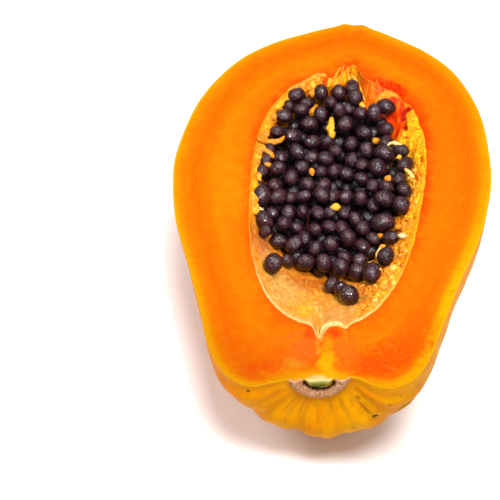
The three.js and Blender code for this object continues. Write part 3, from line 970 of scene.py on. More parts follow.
    # Light mottling everywhere.
    t.paint(t.span(mottle, 0.5, 0.72, 0, 0.30), 255, 150, 6)
    t.paint(t.span(mottle, 0.5, 0.3, 0, 0.26), 252, 92, 1)
    t.paint(t.span(grain, 0.52, 0.72, 0, 0.2), 255, 156, 16)
    strings = t.cloud(flat, 2.0, 4, 0.65, (4, 1, 1))
    t.paint(t.span(strings, 0.54, 0.68, 0, 0.26), 250, 92, 2)
    t.feed("Base Color", t.colour)
    wet = t.times(torn, -0.2)
    t.feed("Roughness", t.plus(t.span(grain, 0.3, 0.7, 0.46, 0.58), wet))
    t.bump(grain, 0.10, 0.35)
    return t.material


flesh.data.materials.append(cut_flesh())
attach(flesh, "root")
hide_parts("papaya_half")

# ---- Lining ----
# The hollow is lined with pale, moist, pulpy tissue that held the seeds: smooth and fibrous on the slope
# towards the stem, granular along the right side. Its cut edge is a cream lip round the rim.
LIP_NEAR = 1.15  # width of the cut edge towards the stem, in mm
LIP_FAR = 0.5
LIP_RISE = 0.25
LINING_ROWS = 112
BACK_ROWS = 10
LINING_SINK = 0.15
WALL_LIGHT = 0.84  # share of the light that reaches the walls
# Share of the light that reaches the right wall: its colours are painted that much brighter, as painted light
# for the shade that it is in.
RIGHT_LIGHT = 0.6
# How far light goes into the soft tissue.
SOFT = {"Subsurface_Radius": (1.0, 0.4, 0.12), "Subsurface_Scale": 0.0012}

lip = LIP_FAR + (LIP_NEAR - LIP_FAR) * (1 - ease(-50, -30, rim[:, 1]))
lip_sink = TORN_SINK * torn_rim


def lining_ring(share, inset):
    ring = hollow_ring(share, inset)
    ring[:, :2] += out_unit * (rim_wobble * share**6)[:, None]
    return ring


lip_rows = []
for part in (0.0, 0.2, 0.45, 0.7, 0.9):
    ring = lining_ring(1.0, lip * part)
    lift = LIP_RISE * math.sin(math.pi * min(1, part * 0.9 + 0.1)) - 0.2 * (1 - ease(0, 0.2, part))
    ring[:, 2] = lift * (1 - torn_rim) - lip_sink - 0.25 * torn_rim
    lip_rows.append(ring)
lining_shares = 1 - np.linspace(0, 1, LINING_ROWS, endpoint=False) ** 1.8
base = np.array(lip_rows + [lining_ring(share, lip) for share in lining_shares])
along_row = np.roll(base, -1, 1) - np.roll(base, 1, 1)
facing_in = np.cross(along_row, np.gradient(base, axis=0))
facing_in /= np.linalg.norm(facing_in, axis=2)[..., None] + 1e-12
flat_base = base.reshape(-1, 3)
steps = np.linalg.norm(np.diff(base, axis=0), axis=2)
down_in = np.vstack([np.zeros(FLESH_COLUMNS), np.cumsum(steps, axis=0)])
down = (down_in - down_in[len(lip_rows)]).ravel()
x, y = flat_base[:, 0], flat_base[:, 1]
torn_wall = np.tile(torn_rim, len(base)) * ease(34, 46, y) * (1 - 0.8 * ease(21.5, 24.5, x))
right_wall = ease(8, 21, x + 0.25 * np.minimum(y + 30, 0)) * (1 - ease(46, 56, y))
slope = (1 - ease(-32, -16, y)) * (1 - right_wall)
settled = ease(0.3, 3.0, down)
left_shelf = (1 - ease(-20, -12, x)) * ease(-14, 0, y)
left_shelf += ease(40, 50, y) * (1 - ease(-2, 6, x)) * ease(-20, -12, x)
ledge = left_shelf * ease(0.1, 1.6, down) * (1 - ease(3.5, 7.5, down))
relief = ledge * np.clip(1.7 + 1.8 * wander(flat_base, (3.0, 3.0, 5.0), 28), 0, 4) + settled * (
    (0.40 * wander(flat_base, 5.0, 20) + 0.22 * wander(flat_base, 2.1, 21)) * (1 - 0.45 * slope)
    + right_wall * (0.7 * wander(flat_base, (3.5, 5, 4.5), 22) + 0.35 * pebbles(flat_base, 2.4, 23))
    + slope * 0.08 * wander(flat_base, (1.6, 9, 9), 24)
    + torn_wall * 0.5 * wander(flat_base, (2.4, 6, 6), 27)
    + 0.2 * pebbles(flat_base, 1.1, 25) * (0.1 + 0.9 * right_wall)
)
relief += 0.12 * wander(flat_base, 1.6, 26) * (1 - settled)


def from_line(places):
    """How far each point shows from a line of places in the view, in mm."""
    away = flat_base - np.array(camera_at)
    seen = np.stack([away @ np.array(camera_right), -(away @ np.array(camera_up))], -1)
    seen = seen / -(away @ np.array(camera_back))[:, None] * FOCAL_PIXELS + VIEW_WIDTH / 2
    line = smooth_line(places, np.linspace(0, 1, 40))
    nearest = np.sqrt(np.min([np.square(seen - spot).sum(1) for spot in line], axis=0))
    return nearest * CAMERA_DISTANCE / FOCAL_PIXELS


# A soft ridge arches over the torn stretch, beside a cleft that is hardly cut in: its dark red is painted,
# partly the torn flesh's red and partly painted shade of the crack.
ARCH = [(377, 101), (384, 96), (393, 94), (401, 96), (407, 101), (412, 109), (414, 118)]
CLEFT = [(410, 110), (405, 112), (404, 118), (405, 128)]
arch = bell(from_line(ARCH) / 1.5) * ease(24, 30, y)
cleft = bell(from_line(CLEFT) / 1.1) * ease(24, 30, y)
relief += arch * (1.0 + 0.6 * wander(flat_base, 2.2, 29)) - 0.1 * cleft
front = flat_base + facing_in.reshape(-1, 3) * relief[:, None]
back_shares = 1 - np.linspace(0, 1, BACK_ROWS, endpoint=False) ** 1.6
back = np.array([hollow_ring(share, -LINING_SINK) - [0, 0, LINING_SINK] for share in back_shares])
back[0, :, 2] = -0.6 - lip_sink
deepest = np.array([[*middle, -HOLLOW_DEPTH + 1.2]])
under = np.array([[*middle, -HOLLOW_DEPTH - LINING_SINK]])
lining_points = np.vstack([under, back[::-1].reshape(-1, 3), front, deepest])
rings = len(back) + len(base)
last = len(lining_points) - 1
lining_faces = [
    ring_faces(1, rings, FLESH_COLUMNS),
    fan_faces(0, 1, FLESH_COLUMNS),
    fan_faces(last, 1 + (rings - 1) * FLESH_COLUMNS, FLESH_COLUMNS, flip=True),
]


def over_lining(values, rest=0.0):
    return np.concatenate([np.full(1 + len(back) * FLESH_COLUMNS, rest), values, [rest]])


lining = make_piece(
    "papaya_lining",
    lining_points,
    lining_faces,
    plan=lining_points,
    down_wall=over_lining(down, 5.0),
    right_wall=over_lining(right_wall),
    near_slope=over_lining(slope),
    ledge=over_lining(left_shelf * (1 - ease(3.5, 7, down))),
    torn=over_lining(torn_wall),
    arch=over_lining(arch),
    cleft=over_lining(cleft),
)


def pale_lining():
    t = Finish(
        "pale_lining", WALL_LIGHT, Roughness=0.34, Specular_IOR_Level=0.06, Subsurface_Weight=0.15, **SOFT
    )
    where = t.place()
    parts = t.parts(where)
    fine = t.cloud(where, 1.3, 4, 0.65)
    lumps = t.cloud(where, 4.2, 4, 0.6)
    fibres = t.cloud(where, 1.0, 3, 0.6, (1, 8, 8))
    # Orange behind the seeds, yellow along the right, pale on the slope.
    t.colour = t.coats((254, 156, 24), (t.span(lumps, 0.38, 0.62), (252, 124, 10)))
    t.paint(t.span(fine, 0.5, 0.7, 0, 0.7), 255, 186, 54)
    # The right wall is painted brighter than the rest of the lining, as painted light for its shade.
    wall_colour = t.coats(
        (254, 156, 12, RIGHT_LIGHT),
        (t.span(lumps, 0.35, 0.65), (255, 176, 20, RIGHT_LIGHT)),
        (t.span(fine, 0.5, 0.7, 0, 0.7), (255, 196, 70, RIGHT_LIGHT)),
        (t.span(fine, 0.46, 0.32, 0, 0.6), (253, 134, 8, RIGHT_LIGHT)),
    )
    t.over(t.measure("right_wall"), wall_colour)
    slope_colour = t.coats(
        (251, 178, 68),
        (t.span(lumps, 0.36, 0.64), (249, 150, 34)),
        (t.span(fine, 0.48, 0.66, 0, 0.6), (244, 140, 26)),
        (t.span(fibres, 0.5, 0.66, 0, 0.4), (254, 206, 122)),
        (t.span(fine, 0.42, 0.3, 0, 0.5), (254, 200, 60)),
    )
    t.over(t.measure("near_slope"), slope_colour)
    ledge_colour = t.coats(
        (254, 146, 16),
        (t.span(lumps, 0.4, 0.6), (255, 176, 38)),
        (t.span(fine, 0.52, 0.66, 0, 0.8), (255, 204, 84)),
    )
    t.over(t.measure("ledge"), ledge_colour)
    for middle_at, size, shade, share, turn, soft in (
        ((-5, -27.5), (11, 5), (206, 96, 18), 0.85, 0, 1.5),
        ((-1, -37), (5, 6), (232, 144, 44), 0.6, 0, 1.5),
        ((-15, -36), (6, 7), (240, 184, 94), 0.75, 15, 1.4),
        ((-6.5, -45), (2.4, 5), (252, 200, 44), 0.8, -10, 1.4),
        ((4.5, -47), (5, 5), (242, 170, 92), 0.7, 0, 1.4),
        ((12.5, -35), (6, 6), (200, 100, 30), 0.85, 0, 1.5),
        ((17.5, -41), (4, 5), (250, 196, 40), 0.8, 20, 1.2),
        ((-23.5, -15), (3.5, 7), (206, 120, 66), 0.75, 0, 1.4),
        ((-20.5, -24), (2.5, 5), (240, 180, 110), 0.6, 0, 1.4),
        ((20, -24), (4, 5), (214, 110, 30), 0.5, 0, 1.4),
    ):
        t.stain(where, middle_at, size, shade, share, turn, soft, 0.9)
    # Brown specks where the seeds lay, and short pale fibres.
    specks = t.span(t.cloud(where, 1.5, 5, 0.8), 0.5, 0.58)
    specks = t.times(specks, t.span(parts["Y"], -54, -30, 0.15, 1))
    t.paint(t.times(specks, 0.7), 204, 92, 14)
    flecks = t.span(t.cloud(where, 1.2, 4, 0.75, (1, 2, 2)), 0.54, 0.62)
    flecks = t.times(flecks, t.measure("near_slope"))
    t.paint(t.times(flecks, 0.7), 255, 212, 124)
    dimple = t.span(t.cloud(where, 2.6, 4, 0.7), 0.47, 0.38)
    dimple = t.times(dimple, t.measure("near_slope"))
    t.paint(t.times(dimple, 0.65), 250, 166, 34)
    # Flames of yellow at the far end, up to the hollow's point.
    flame = t.cloud(where, 2.0, 3, 0.6, (1, 5, 5))
    flames = t.coats(
        (251, 128, 10),
        (t.span(flame, 0.38, 0.6), (255, 172, 26)),
        (t.span(flame, 0.52, 0.68), (255, 204, 74)),
        (t.times(t.span(parts["X"], 4.5, 8), t.span(flame, 0.3, 0.7, 1, 0.5)), (249, 84, 8)),
    )
    t.over(t.span(parts["Y"], 46, 54), flames)
    # The torn stretch at the far right is as red as the flesh above it.
    strand = t.cloud(where, 0.9, 3, 0.6, (1, 5, 5))
    red = t.coats(
        (238, 52, 6),
        (t.span(strand, 0.42, 0.66), (254, 120, 16)),
        (t.span(parts["Z"], -9, -17), (198, 26, 6)),
    )
    ridge = t.coats((253, 136, 22), (t.span(fine, 0.4, 0.65), (255, 190, 70)))
    red = t.mix(t.span(t.measure("arch"), 0.25, 0.8), red, ridge)
    t.over(t.span(t.measure("torn"), 0.2, 0.6), red)
    # The cleft: dark red, partly the torn flesh's own red and partly painted shade of the crack.
    t.paint(t.span(t.measure("cleft"), 0.15, 0.8), 178, 24, 2)
    lip_mask = t.minus(t.span(t.measure("down_wall"), 0.8, -0.2), t.measure("torn"), True)
    lip_colour = t.coats(
        (253, 224, 146, 1),
        (t.span(fine, 0.4, 0.6), (253, 204, 104, 1)),
        (t.span(parts["Y"], -44, -18), (254, 168, 30, 1)),
    )
    lip_mask = t.times(lip_mask, t.span(parts["Y"], 60, 50))
    lip_mask = t.times(lip_mask, t.span(parts["X"], 10, 18, 1, 0.45))
    t.over(t.times(lip_mask, 0.85), lip_colour)
    t.feed("Base Color", t.colour)
    t.feed("Roughness", t.span(fine, 0.3, 0.7, 0.26, 0.42))
    t.bump(t.cloud(where, 0.7, 4, 0.7), 0.3, 0.6)
    return t.material


lining.data.materials.append(pale_lining())
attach(lining, "root")
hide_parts("papaya_half")

# ---- Lining grains ----
# Grains of soft yellow pulp, where seeds came away, that are part of the lining. They crowd the right wall
# and the slope on the near right.
GRAIN_COUNT = 1500
GRAIN_RANDOM = 5
GRAIN_SIZE = 0.56
GRAIN_SUNK = 0.4  # share of its size that a grain is sunk into the lining
GRAIN_UNEVEN = 0.55
# Share of the light that reaches the grains: their colours are painted that much brighter.
GRAIN_LIGHT = 0.76
grain_draw = np.random.default_rng(GRAIN_RANDOM)
cell_area = np.linalg.norm(np.cross(along_row, np.gradient(base, axis=0)), axis=2).ravel()
near_right = bell(np.hypot((x - 17) / 6, (y + 45) / 5)) + 0.7 * bell(np.hypot((x - 21) / 5, (y + 33) / 7))
near_right = np.clip(near_right - 0.12, 0, 1)
crowd = right_wall * ease(1, 6, down) * (1 - ease(17, 26, down)) * (1 - ease(8, 26, y)) + 1.4 * near_right
crowd *= ease(0.8, 2.2, down) * (0.25 + ease(-0.2, 0.3, wander(flat_base, 4.0, 40)))
chance = np.clip(crowd, 0, None) * cell_area
picked = grain_draw.choice(len(front), GRAIN_COUNT, replace=False, p=chance / chance.sum())
grain_size = GRAIN_SIZE * np.exp(grain_draw.normal(0, 0.4, GRAIN_COUNT))
grain_at = front[picked] + facing_in.reshape(-1, 3)[picked] * (-GRAIN_SUNK * grain_size)[:, None]


def kept(t, label, kind="FLOAT_VECTOR"):
    """What each point of the host keeps under this label."""
    return t.node("GeometryNodeInputNamedAttribute", {"data_type": kind}, Name=label).outputs[0]


def finished(t, given, shaped):
    """The end of a group: a smooth surface with the finish that the group is given."""
    smooth = t.node("GeometryNodeSetShadeSmooth", Geometry=shaped.outputs[0])
    done = t.node("GeometryNodeSetMaterial", Geometry=smooth.outputs[0], Material=given["Finish"])
    t.node("NodeGroupOutput", _0=done.outputs[0])
    return t.tree


def scattered_grains():
    """Geometry Nodes: a small uneven lump at every point."""
    t, given = new_group(
        "scattered_grains",
        "GeometryNodeTree",
        ("Grains", "Geometry"),
        ("Points", "Geometry"),
        ("Unevenness", "Float", GRAIN_UNEVEN * MM),
        ("Finish", "Material"),
    )
    lump = t.node("GeometryNodeMeshIcoSphere", Radius=1.0, Subdivisions=2)
    turned = t.node("FunctionNodeEulerToRotation", Euler=kept(t, "turn")).outputs[0]
    spread = t.node(
        "GeometryNodeInstanceOnPoints",
        Points=given["Points"],
        Instance=lump.outputs[0],
        Rotation=turned,
        Scale=kept(t, "size"),
    )
    loose = t.node("GeometryNodeRealizeInstances", Geometry=spread.outputs[0])
    place = t.node("GeometryNodeInputPosition").outputs[0]
    rough = t.noise(place, 1 / (1.1 * MM), 1.0)
    rise = t.times(t.minus(rough, 0.5), t.times(given["Unevenness"], 2))
    facing_out = t.node("GeometryNodeInputNormal").outputs[0]
    offset = t.scaled(facing_out, rise)
    uneven_lumps = t.node("GeometryNodeSetPosition", Geometry=loose.outputs[0], Offset=offset)
    return finished(t, given, uneven_lumps)


def grow_pieces(name, points, measures, group, finish):
    """A plain mesh of what a Geometry Nodes group puts on the points."""
    host = put_in_scene(name + "_host", laid_mesh(name + "_points", points, [], measures))
    grow = host.modifiers.new("grow", "NODES")
    grow.node_group = group
    for item in group.interface.items_tree:
        if item.in_out == "INPUT" and item.name == "Finish":
            grow[item.identifier] = finish
    mesh = bpy.data.meshes.new_from_object(host.evaluated_get(bpy.context.evaluated_depsgraph_get()))
    mesh.name = name
    bpy.data.objects.remove(host)
    return put_in_scene(name, mesh)


def grain_finish():
    t = Finish("pulp_grain", GRAIN_LIGHT, Roughness=0.4, Specular_IOR_Level=0.15)
    where = t.place()
    tone = t.measure("tone")
    t.colour = t.coats((246, 128, 14), (t.span(tone, 0.1, 0.5), (252, 170, 30)))
    t.paint(t.span(tone, 0.6, 1.0), 253, 202, 100)
    t.paint(t.span(t.cloud(where, 1.2, 2), 0.42, 0.62, 0, 0.5), 226, 108, 12)
    t.feed("Base Color", t.colour)
    return t.material


grains = grow_pieces(
    "lining_grains",
    grain_at,
    {
        "turn": grain_draw.uniform(0, TURN, (GRAIN_COUNT, 3)),
        "size": grain_size[:, None] * grain_draw.uniform(0.75, 1.35, (GRAIN_COUNT, 3)) * MM,
        "tone": grain_draw.uniform(0, 1, GRAIN_COUNT) ** 1.4,
        "plan": grain_at,
    },
    scattered_grains(),
    grain_finish(),
)
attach(grains, "root")
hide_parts("papaya_half")

# ---- Seeds ----
# Wet, near-black seeds, each in its own pebbly skin of collapsed jelly. They lie loose on each other in the
# hollow, two or three deep where they show, and a few have slid down the slope towards the stem.
HEAP_X = -0.8
HEAP_Y = 17
HEAP_HALF_WIDTH = 27.6
HEAP_HALF_LENGTH = 43.5
HEAP_LEAN = 0.04
HEAP_POWER_FAR = 2.5
HEAP_POWER_NEAR = 5
HEAP_TOP = -2.4
HEAP_DIP = 5
HEAP_SLUMP = 9.5
PIT_AT = (4.5, 23)  # a hollow between the seeds, on the plan
PIT_DEPTH = 4
PIT_SIZE = 6
SEED_LENGTH = 6.9
SEED_WIDTH = 5.8
SEED_SPACING = 5.8
LAYER_DROP = 4.6
HEAP_FILLED = 0.86  # share of the heap's outline that has seeds below those that show
SETTLE_ROUNDS = 160
SHRUNK = 0.95  # size of the core that the dents and pebbles are put on
DENT_DEPTH = 0.35
PEBBLE_HEIGHT = 0.06
JUICE_DEPTH = 0.2
LINING_THICK = 0.4
SEED_RANDOM = 20
UPRIGHT, WIDE, TILTED, FALLING = 90, 0, 62, -52
# Where each seed that shows lies in the view, with its length in mm and the way it points if it stands out.
TOP_ROWS = [
    (297, 96, 7.1), (289, 107), (284, 116, 7.1), (301, 110), (306, 103), (321, 93, 7.1, UPRIGHT),
    (339, 93, 7.3, UPRIGHT), (352, 88), (355, 98, 7.3, UPRIGHT), (330, 103), (321, 115, 6.6, UPRIGHT),
    (340, 111), (348, 109), (360, 114), (374, 113, 7.1, UPRIGHT), (386, 107, 8.1, -18),
    (309, 124, 7.3, WIDE), (345, 125, 7.9, TILTED), (364, 133, 7.1), (386, 130, 7.1),
]
FAR_ROWS = [
    (277, 132, 6.2, WIDE), (269, 148, 5.6), (266, 160, 5.4), (293, 136, 7.3), (312, 142, 7.1),
    (327, 143, 6.4), (351, 144, 6.4), (386, 143), (297, 152, 7.1), (279, 158), (311, 157, 6.4),
    (326, 159, 7.5), (335, 151, 6), (352, 160, 6.4), (367, 150, 7.1), (385, 154, 8.6, -24),
    (401, 151, 6.6, WIDE), (405, 165, 7.3), (378, 168, 8.3, -60), (362, 165, 6.4),
]
MIDDLE_ROWS = [
    (262, 172, 6.4), (277, 169), (302, 168), (291, 178, 6.8), (334, 171), (347, 174, 6.6),
    (321, 172, 5.8), (362, 179), (399, 179, 6.6), (274, 185), (260, 187, 6), (307, 185), (324, 186),
    (373, 186, 6.4), (386, 187, 6.4), (404, 190, 6.6), (262, 196, 8.1, UPRIGHT), (278, 197, 7.5),
    (291, 198, 6), (303, 197), (322, 195, 7.5), (333, 196, 6.2), (346, 197, 6), (361, 199, 6.8, UPRIGHT),
    (384, 199, 8.3, WIDE), (373, 205, 6.2), (401, 205, 7.7),
]
NEAR_ROWS = [
    (272, 213, 6.4), (288, 213), (302, 213), (318, 213, 6.4), (329, 213, 5.8), (344, 213, 5.8),
    (264, 221, 7.9, -60), (265, 231, 5.4), (285, 224, 7.5), (298, 229, 6.4), (314, 230), (329, 227, 6.4),
    (342, 229, 6.4), (356, 220, 6.6, -60), (363, 228, 6.6), (383, 223, 9.4, 8), (348, 238, 7.7, -60),
    (362, 246, 6.6), (373, 239, 6), (391, 238, 6.6), (278, 241, 6.8), (294, 244, 7.1, 40),
    (315, 249, 6.2), (331, 245, 7.1), (304, 238, 6),
]
LAST_ROW = [
    (273, 264, 8.1, TILTED), (288, 261, 6), (305, 262, 7.3, WIDE), (324, 263, 7.3, -70),
    (341, 267, 7.5, UPRIGHT), (345, 258, 6.2), (360, 260, 6.4), (357, 272, 7.3), (372, 273, 7.7),
    (386, 257, 7.5, TILTED),
]
STRAYS = [(332, 285, 6.4), (341, 289, 6.6, FALLING), (349, 295, 8.1, FALLING)]


def heap_middle(y):
    return HEAP_X + HEAP_LEAN * (y - HEAP_Y)


def heap_share(x, y):
    power = np.where(y > HEAP_Y, HEAP_POWER_FAR, HEAP_POWER_NEAR)
    u = np.abs((x - heap_middle(y)) / HEAP_HALF_WIDTH) ** power
    v = np.abs((y - HEAP_Y) / HEAP_HALF_LENGTH) ** power
    return (u + v) ** (1 / power)


def heap_height(x, y):
    """Height of the seeds' middles on top of the heap."""
    dip = HEAP_DIP * (1 - ease(0.2, 0.95, heap_share(x, y)))
    slump = HEAP_SLUMP * (1 - ease(-30, 12, y))
    pit = PIT_DEPTH * bell(np.hypot(x - PIT_AT[0], y - PIT_AT[1]) / PIT_SIZE)
    on_wall = wall_height(hollow_share(x, y), x, y) + LINING_THICK + SEED_WIDTH / 2
    return np.maximum(HEAP_TOP - dip - slump - pit, on_wall)


def wall_room(places):
    """How far each place is from the hollow's wall, and the way straight off the wall."""
    step = 0.05
    x, y, z = places.T
    here = wall_height(hollow_share(x, y), x, y)
    east = (wall_height(hollow_share(x + step, y), x + step, y) - here) / step
    north = (wall_height(hollow_share(x, y + step), x, y + step) - here) / step
    off = np.column_stack([-east, -north, np.ones(len(x))])
    steep = np.linalg.norm(off, axis=1)
    return (z - here) / steep, off / steep[:, None]


def settle_seeds(draw):
    """Middles, sizes and long axes of all seeds. Those that show keep their place in the view."""
    shown = TOP_ROWS + FAR_ROWS + MIDDLE_ROWS + NEAR_ROWS + LAST_ROW + STRAYS
    count = len(shown)
    rays = np.array([camera_ray(seed[0], seed[1]) for seed in shown])
    spots = np.array([seen_on(heap_height, seed[0], seed[1]) for seed in shown])
    lengths = [seed[2] if len(seed) > 2 else SEED_LENGTH * draw.uniform(0.92, 1.05) for seed in shown]
    below = []
    for drop, gap in ((LAYER_DROP, SEED_SPACING), (2 * LAYER_DROP, SEED_SPACING * 1.3)):
        for row in range(-11, 12):
            for column in range(-6, 7):
                shift = draw.uniform(-0.3, 0.3, 2)
                x = HEAP_X + (column + 0.5 * (row % 2) + shift[0]) * gap
                y = HEAP_Y + (row + shift[1]) * gap * math.sqrt(0.75)
                if heap_share(x, y) < HEAP_FILLED:
                    below.append((x, y, float(heap_height(x, y)) - drop))
    below = np.array(below)
    places = np.vstack([spots, below])
    target = places.copy()
    size = np.concatenate([np.array(lengths) / SEED_LENGTH, draw.uniform(0.84, 1.0, len(below))])
    reach = size * (0.35 * SEED_WIDTH + 0.13 * SEED_LENGTH)
    for _ in range(SETTLE_ROUNDS):
        apart = places[:, None] - places[None]
        gap = np.linalg.norm(apart, axis=2) + np.eye(len(places)) * 99
        push = np.clip(0.97 * (reach[:, None] + reach[None]) - gap, 0, None) / gap * 0.3
        places += (apart * push[..., None]).sum(1)
        room, off = wall_room(places)
        short = np.clip(reach + LINING_THICK - room, 0, 2)
        places += off * short[:, None] * 0.6
        places[:count] += -rays * (short[:count] * 0.3)[:, None]
        astray = places[:count] - target[:count]
        deep = (astray * rays).sum(1)[:, None] * rays
        places[:count] -= 0.5 * (astray - deep) + 0.04 * deep
        places[count:, 2] -= 0.08 * (places[count:, 2] - target[count:, 2])
    axes = draw.normal(0, 1, (len(places), 3)) * (1, 1, 0.55)
    for index, seed in enumerate(shown):
        if len(seed) > 3:
            way = math.radians(seed[3])
            axes[index] = camera_right * math.cos(way) + camera_up * math.sin(way)
    return places, size, axes, count


draw = np.random.default_rng(SEED_RANDOM)
seed_at, seed_size, seed_axes, shown_count = settle_seeds(draw)


def wrinkled_seeds():
    """Geometry Nodes: a pebbly seed at every point, egg-shaped and with dents of its own."""
    t, given = new_group(
        "wrinkled_seeds",
        "GeometryNodeTree",
        ("Seeds", "Geometry"),
        ("Points", "Geometry"),
        ("Length", "Float", SHRUNK * SEED_LENGTH * MM),
        ("Width", "Float", SHRUNK * SEED_WIDTH * MM),
        ("Dent depth", "Float", DENT_DEPTH * MM),
        ("Pebble height", "Float", PEBBLE_HEIGHT * MM),
        ("Fineness", "Int", 11),
        ("Fineness below", "Int", 5),
        ("Finish", "Material"),
    )
    place = t.node("GeometryNodeInputPosition").outputs[0]
    half = t.node(
        "ShaderNodeCombineXYZ",
        X=t.share(given["Width"], 2),
        Y=t.share(given["Length"], 2),
        Z=t.share(given["Width"], 2),
    ).outputs[0]
    spreads = []
    for label, wanted in (("Fineness", 1), ("Fineness below", 0)):
        edge = given[label]
        cube = t.node("GeometryNodeMeshCube", Vertices_X=edge, Vertices_Y=edge, Vertices_Z=edge)
        rounded = t.vector("NORMALIZE", place)
        ball = t.node("GeometryNodeSetPosition", Geometry=cube.outputs[0], Position=rounded)
        marked = t.node(
            "GeometryNodeStoreNamedAttribute",
            {"data_type": "FLOAT_VECTOR", "domain": "POINT"},
            Geometry=ball.outputs[0],
            Name="on_seed",
            Value=place,
        )
        stretched = t.vector("MULTIPLY", place, half)
        sized = t.node("GeometryNodeSetPosition", Geometry=marked.outputs[0], Position=stretched)
        right_kind = t.node(
            "FunctionNodeCompare",
            {"data_type": "FLOAT", "operation": "EQUAL"},
            _0=kept(t, "shows", "FLOAT"),
            _1=float(wanted),
        )
        spread = t.node(
            "GeometryNodeInstanceOnPoints",
            Points=given["Points"],
            Selection=right_kind.outputs[0],
            Instance=sized.outputs[0],
            Rotation=t.node("FunctionNodeEulerToRotation", Euler=kept(t, "turn")).outputs[0],
            Scale=kept(t, "size"),
        )
        spreads.append(spread.outputs[0])
    both = t.node("GeometryNodeJoinGeometry")
    for spread in spreads:
        t.tree.links.new(spread, both.inputs[0])
    loose = t.node("GeometryNodeRealizeInstances", Geometry=both.outputs[0])
    on_seed = kept(t, "on_seed")
    own = t.vector("ADD", on_seed, t.scaled((1, 1, 1), t.times(kept(t, "tone", "FLOAT"), 97)))
    dents = t.noise(own, 0.9, 1.0)
    pebble = t.pebbled(own, 3.6)
    dent = t.times(t.minus(dents, 0.5), given["Dent depth"])
    bumpy = t.times(pebble, given["Pebble height"])
    rise = t.minus(t.times(dent, 2), bumpy)
    offset = t.scaled(t.node("GeometryNodeInputNormal").outputs[0], rise)
    # Which way each point faces, kept for the painted shade on the seeds' undersides.
    facing_up = t.parts(t.node("GeometryNodeInputNormal").outputs[0])["Z"]
    lit = t.node(
        "GeometryNodeStoreNamedAttribute",
        {"data_type": "FLOAT", "domain": "POINT"},
        Geometry=loose.outputs[0],
        Name="facing_up",
        Value=facing_up,
    )
    pebbly = t.node("GeometryNodeSetPosition", Geometry=lit.outputs[0], Offset=offset)
    return finished(t, given, pebbly)


def wet_seed():
    t = Finish(
        "wet_seed", Roughness=0.5, Specular_IOR_Level=0.06, Coat_Weight=1.0, Coat_Roughness=0.04, Coat_IOR=1.4
    )
    tone = t.measure("tone")
    own = t.vector("ADD", t.place("on_seed"), t.scaled((1, 1, 1), t.times(tone, 31)))
    mottle = t.noise(own, 1.4, 4.0)
    t.colour = t.coats((52, 5, 26), (tone, (80, 14, 36)))
    t.paint(t.span(mottle, 0.42, 0.7, 0, 0.8), 122, 46, 56)
    # A darker net between the pebbles: painted shade in the creases, so the pebbles look lighter on top.
    pebble = t.pebbled(own, 5.6)
    t.paint(t.span(pebble, 0.12, 0.5, 0.0, 0.75), 28, 6, 18)
    # Painted shade: dark round the sides that are seen edge-on, as if the light came from beside the camera;
    # darker on the undersides; and darker still on the seeds below, that show only in the gaps.
    side_on = t.node("ShaderNodeLayerWeight", Blend=0.5).outputs["Facing"]
    t.paint(t.span(side_on, 0.25, 0.85, 0, 0.75), 26, 8, 16)
    t.paint(t.span(t.measure("facing_up"), 0.5, -0.3), 16, 3, 8)
    t.paint(t.minus(1.0, t.measure("shows")), 24, 4, 12)
    t.feed("Base Color", t.colour)
    wrinkle = t.noise(own, 3.0, 2.0)
    height = t.minus(t.times(wrinkle, 0.8), t.calc("POWER", pebble, 2.0))
    t.bump(height, 0.22, 1.0)
    # The film of juice on top evens the pebbles out.
    film = t.node("ShaderNodeBump", Strength=1.0, Distance=JUICE_DEPTH * MM, Height=height)
    t.feed("Coat Normal", film.outputs[0])
    return t.material


shows = np.arange(len(seed_at)) < shown_count
seeds = grow_pieces(
    "papaya_seeds",
    seed_at,
    {
        "turn": [(LAID @ Vector(axis)).to_track_quat("Y", "Z").to_euler() for axis in seed_axes],
        "size": seed_size[:, None] * draw.uniform((0.94, 0.94, 0.9), (1.04, 1.06, 1.02), (len(seed_at), 3)),
        "shows": shows,
        "tone": draw.uniform(0, 1, len(seed_at)),
    },
    wrinkled_seeds(),
    wet_seed(),
)
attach(seeds, "root")
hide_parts("seed_heap")

# ---- Bed under the seeds ----
# Jelly and more seeds fill the hollow below those that show. Only glimpses of it are seen between them. It is
# painted near black, as painted shade in the gaps, with patches of the jelly's deep red.
BED_COLUMNS = 96
BED_SINK = 8.5
BED_SHARES = (0.05, 0.15, 0.27, 0.39, 0.5, 0.6, 0.7, 0.78, 0.84)
BED_KNOBS = 0.8
BED_SKIRT = 6


def bed_ring(share):
    angle = np.arange(BED_COLUMNS) / BED_COLUMNS * TURN
    c, s = np.cos(angle), np.sin(angle)
    power = 2 / np.where(s > 0, HEAP_POWER_FAR, HEAP_POWER_NEAR)
    y = HEAP_Y + HEAP_HALF_LENGTH * share * np.sign(s) * np.abs(s) ** power
    x = heap_middle(y) + HEAP_HALF_WIDTH * share * np.sign(c) * np.abs(c) ** power
    floor = wall_height(hollow_share(x, y), x, y) - 2
    z = np.maximum(heap_height(x, y) - BED_SINK, floor)
    return np.column_stack([x, y, z])


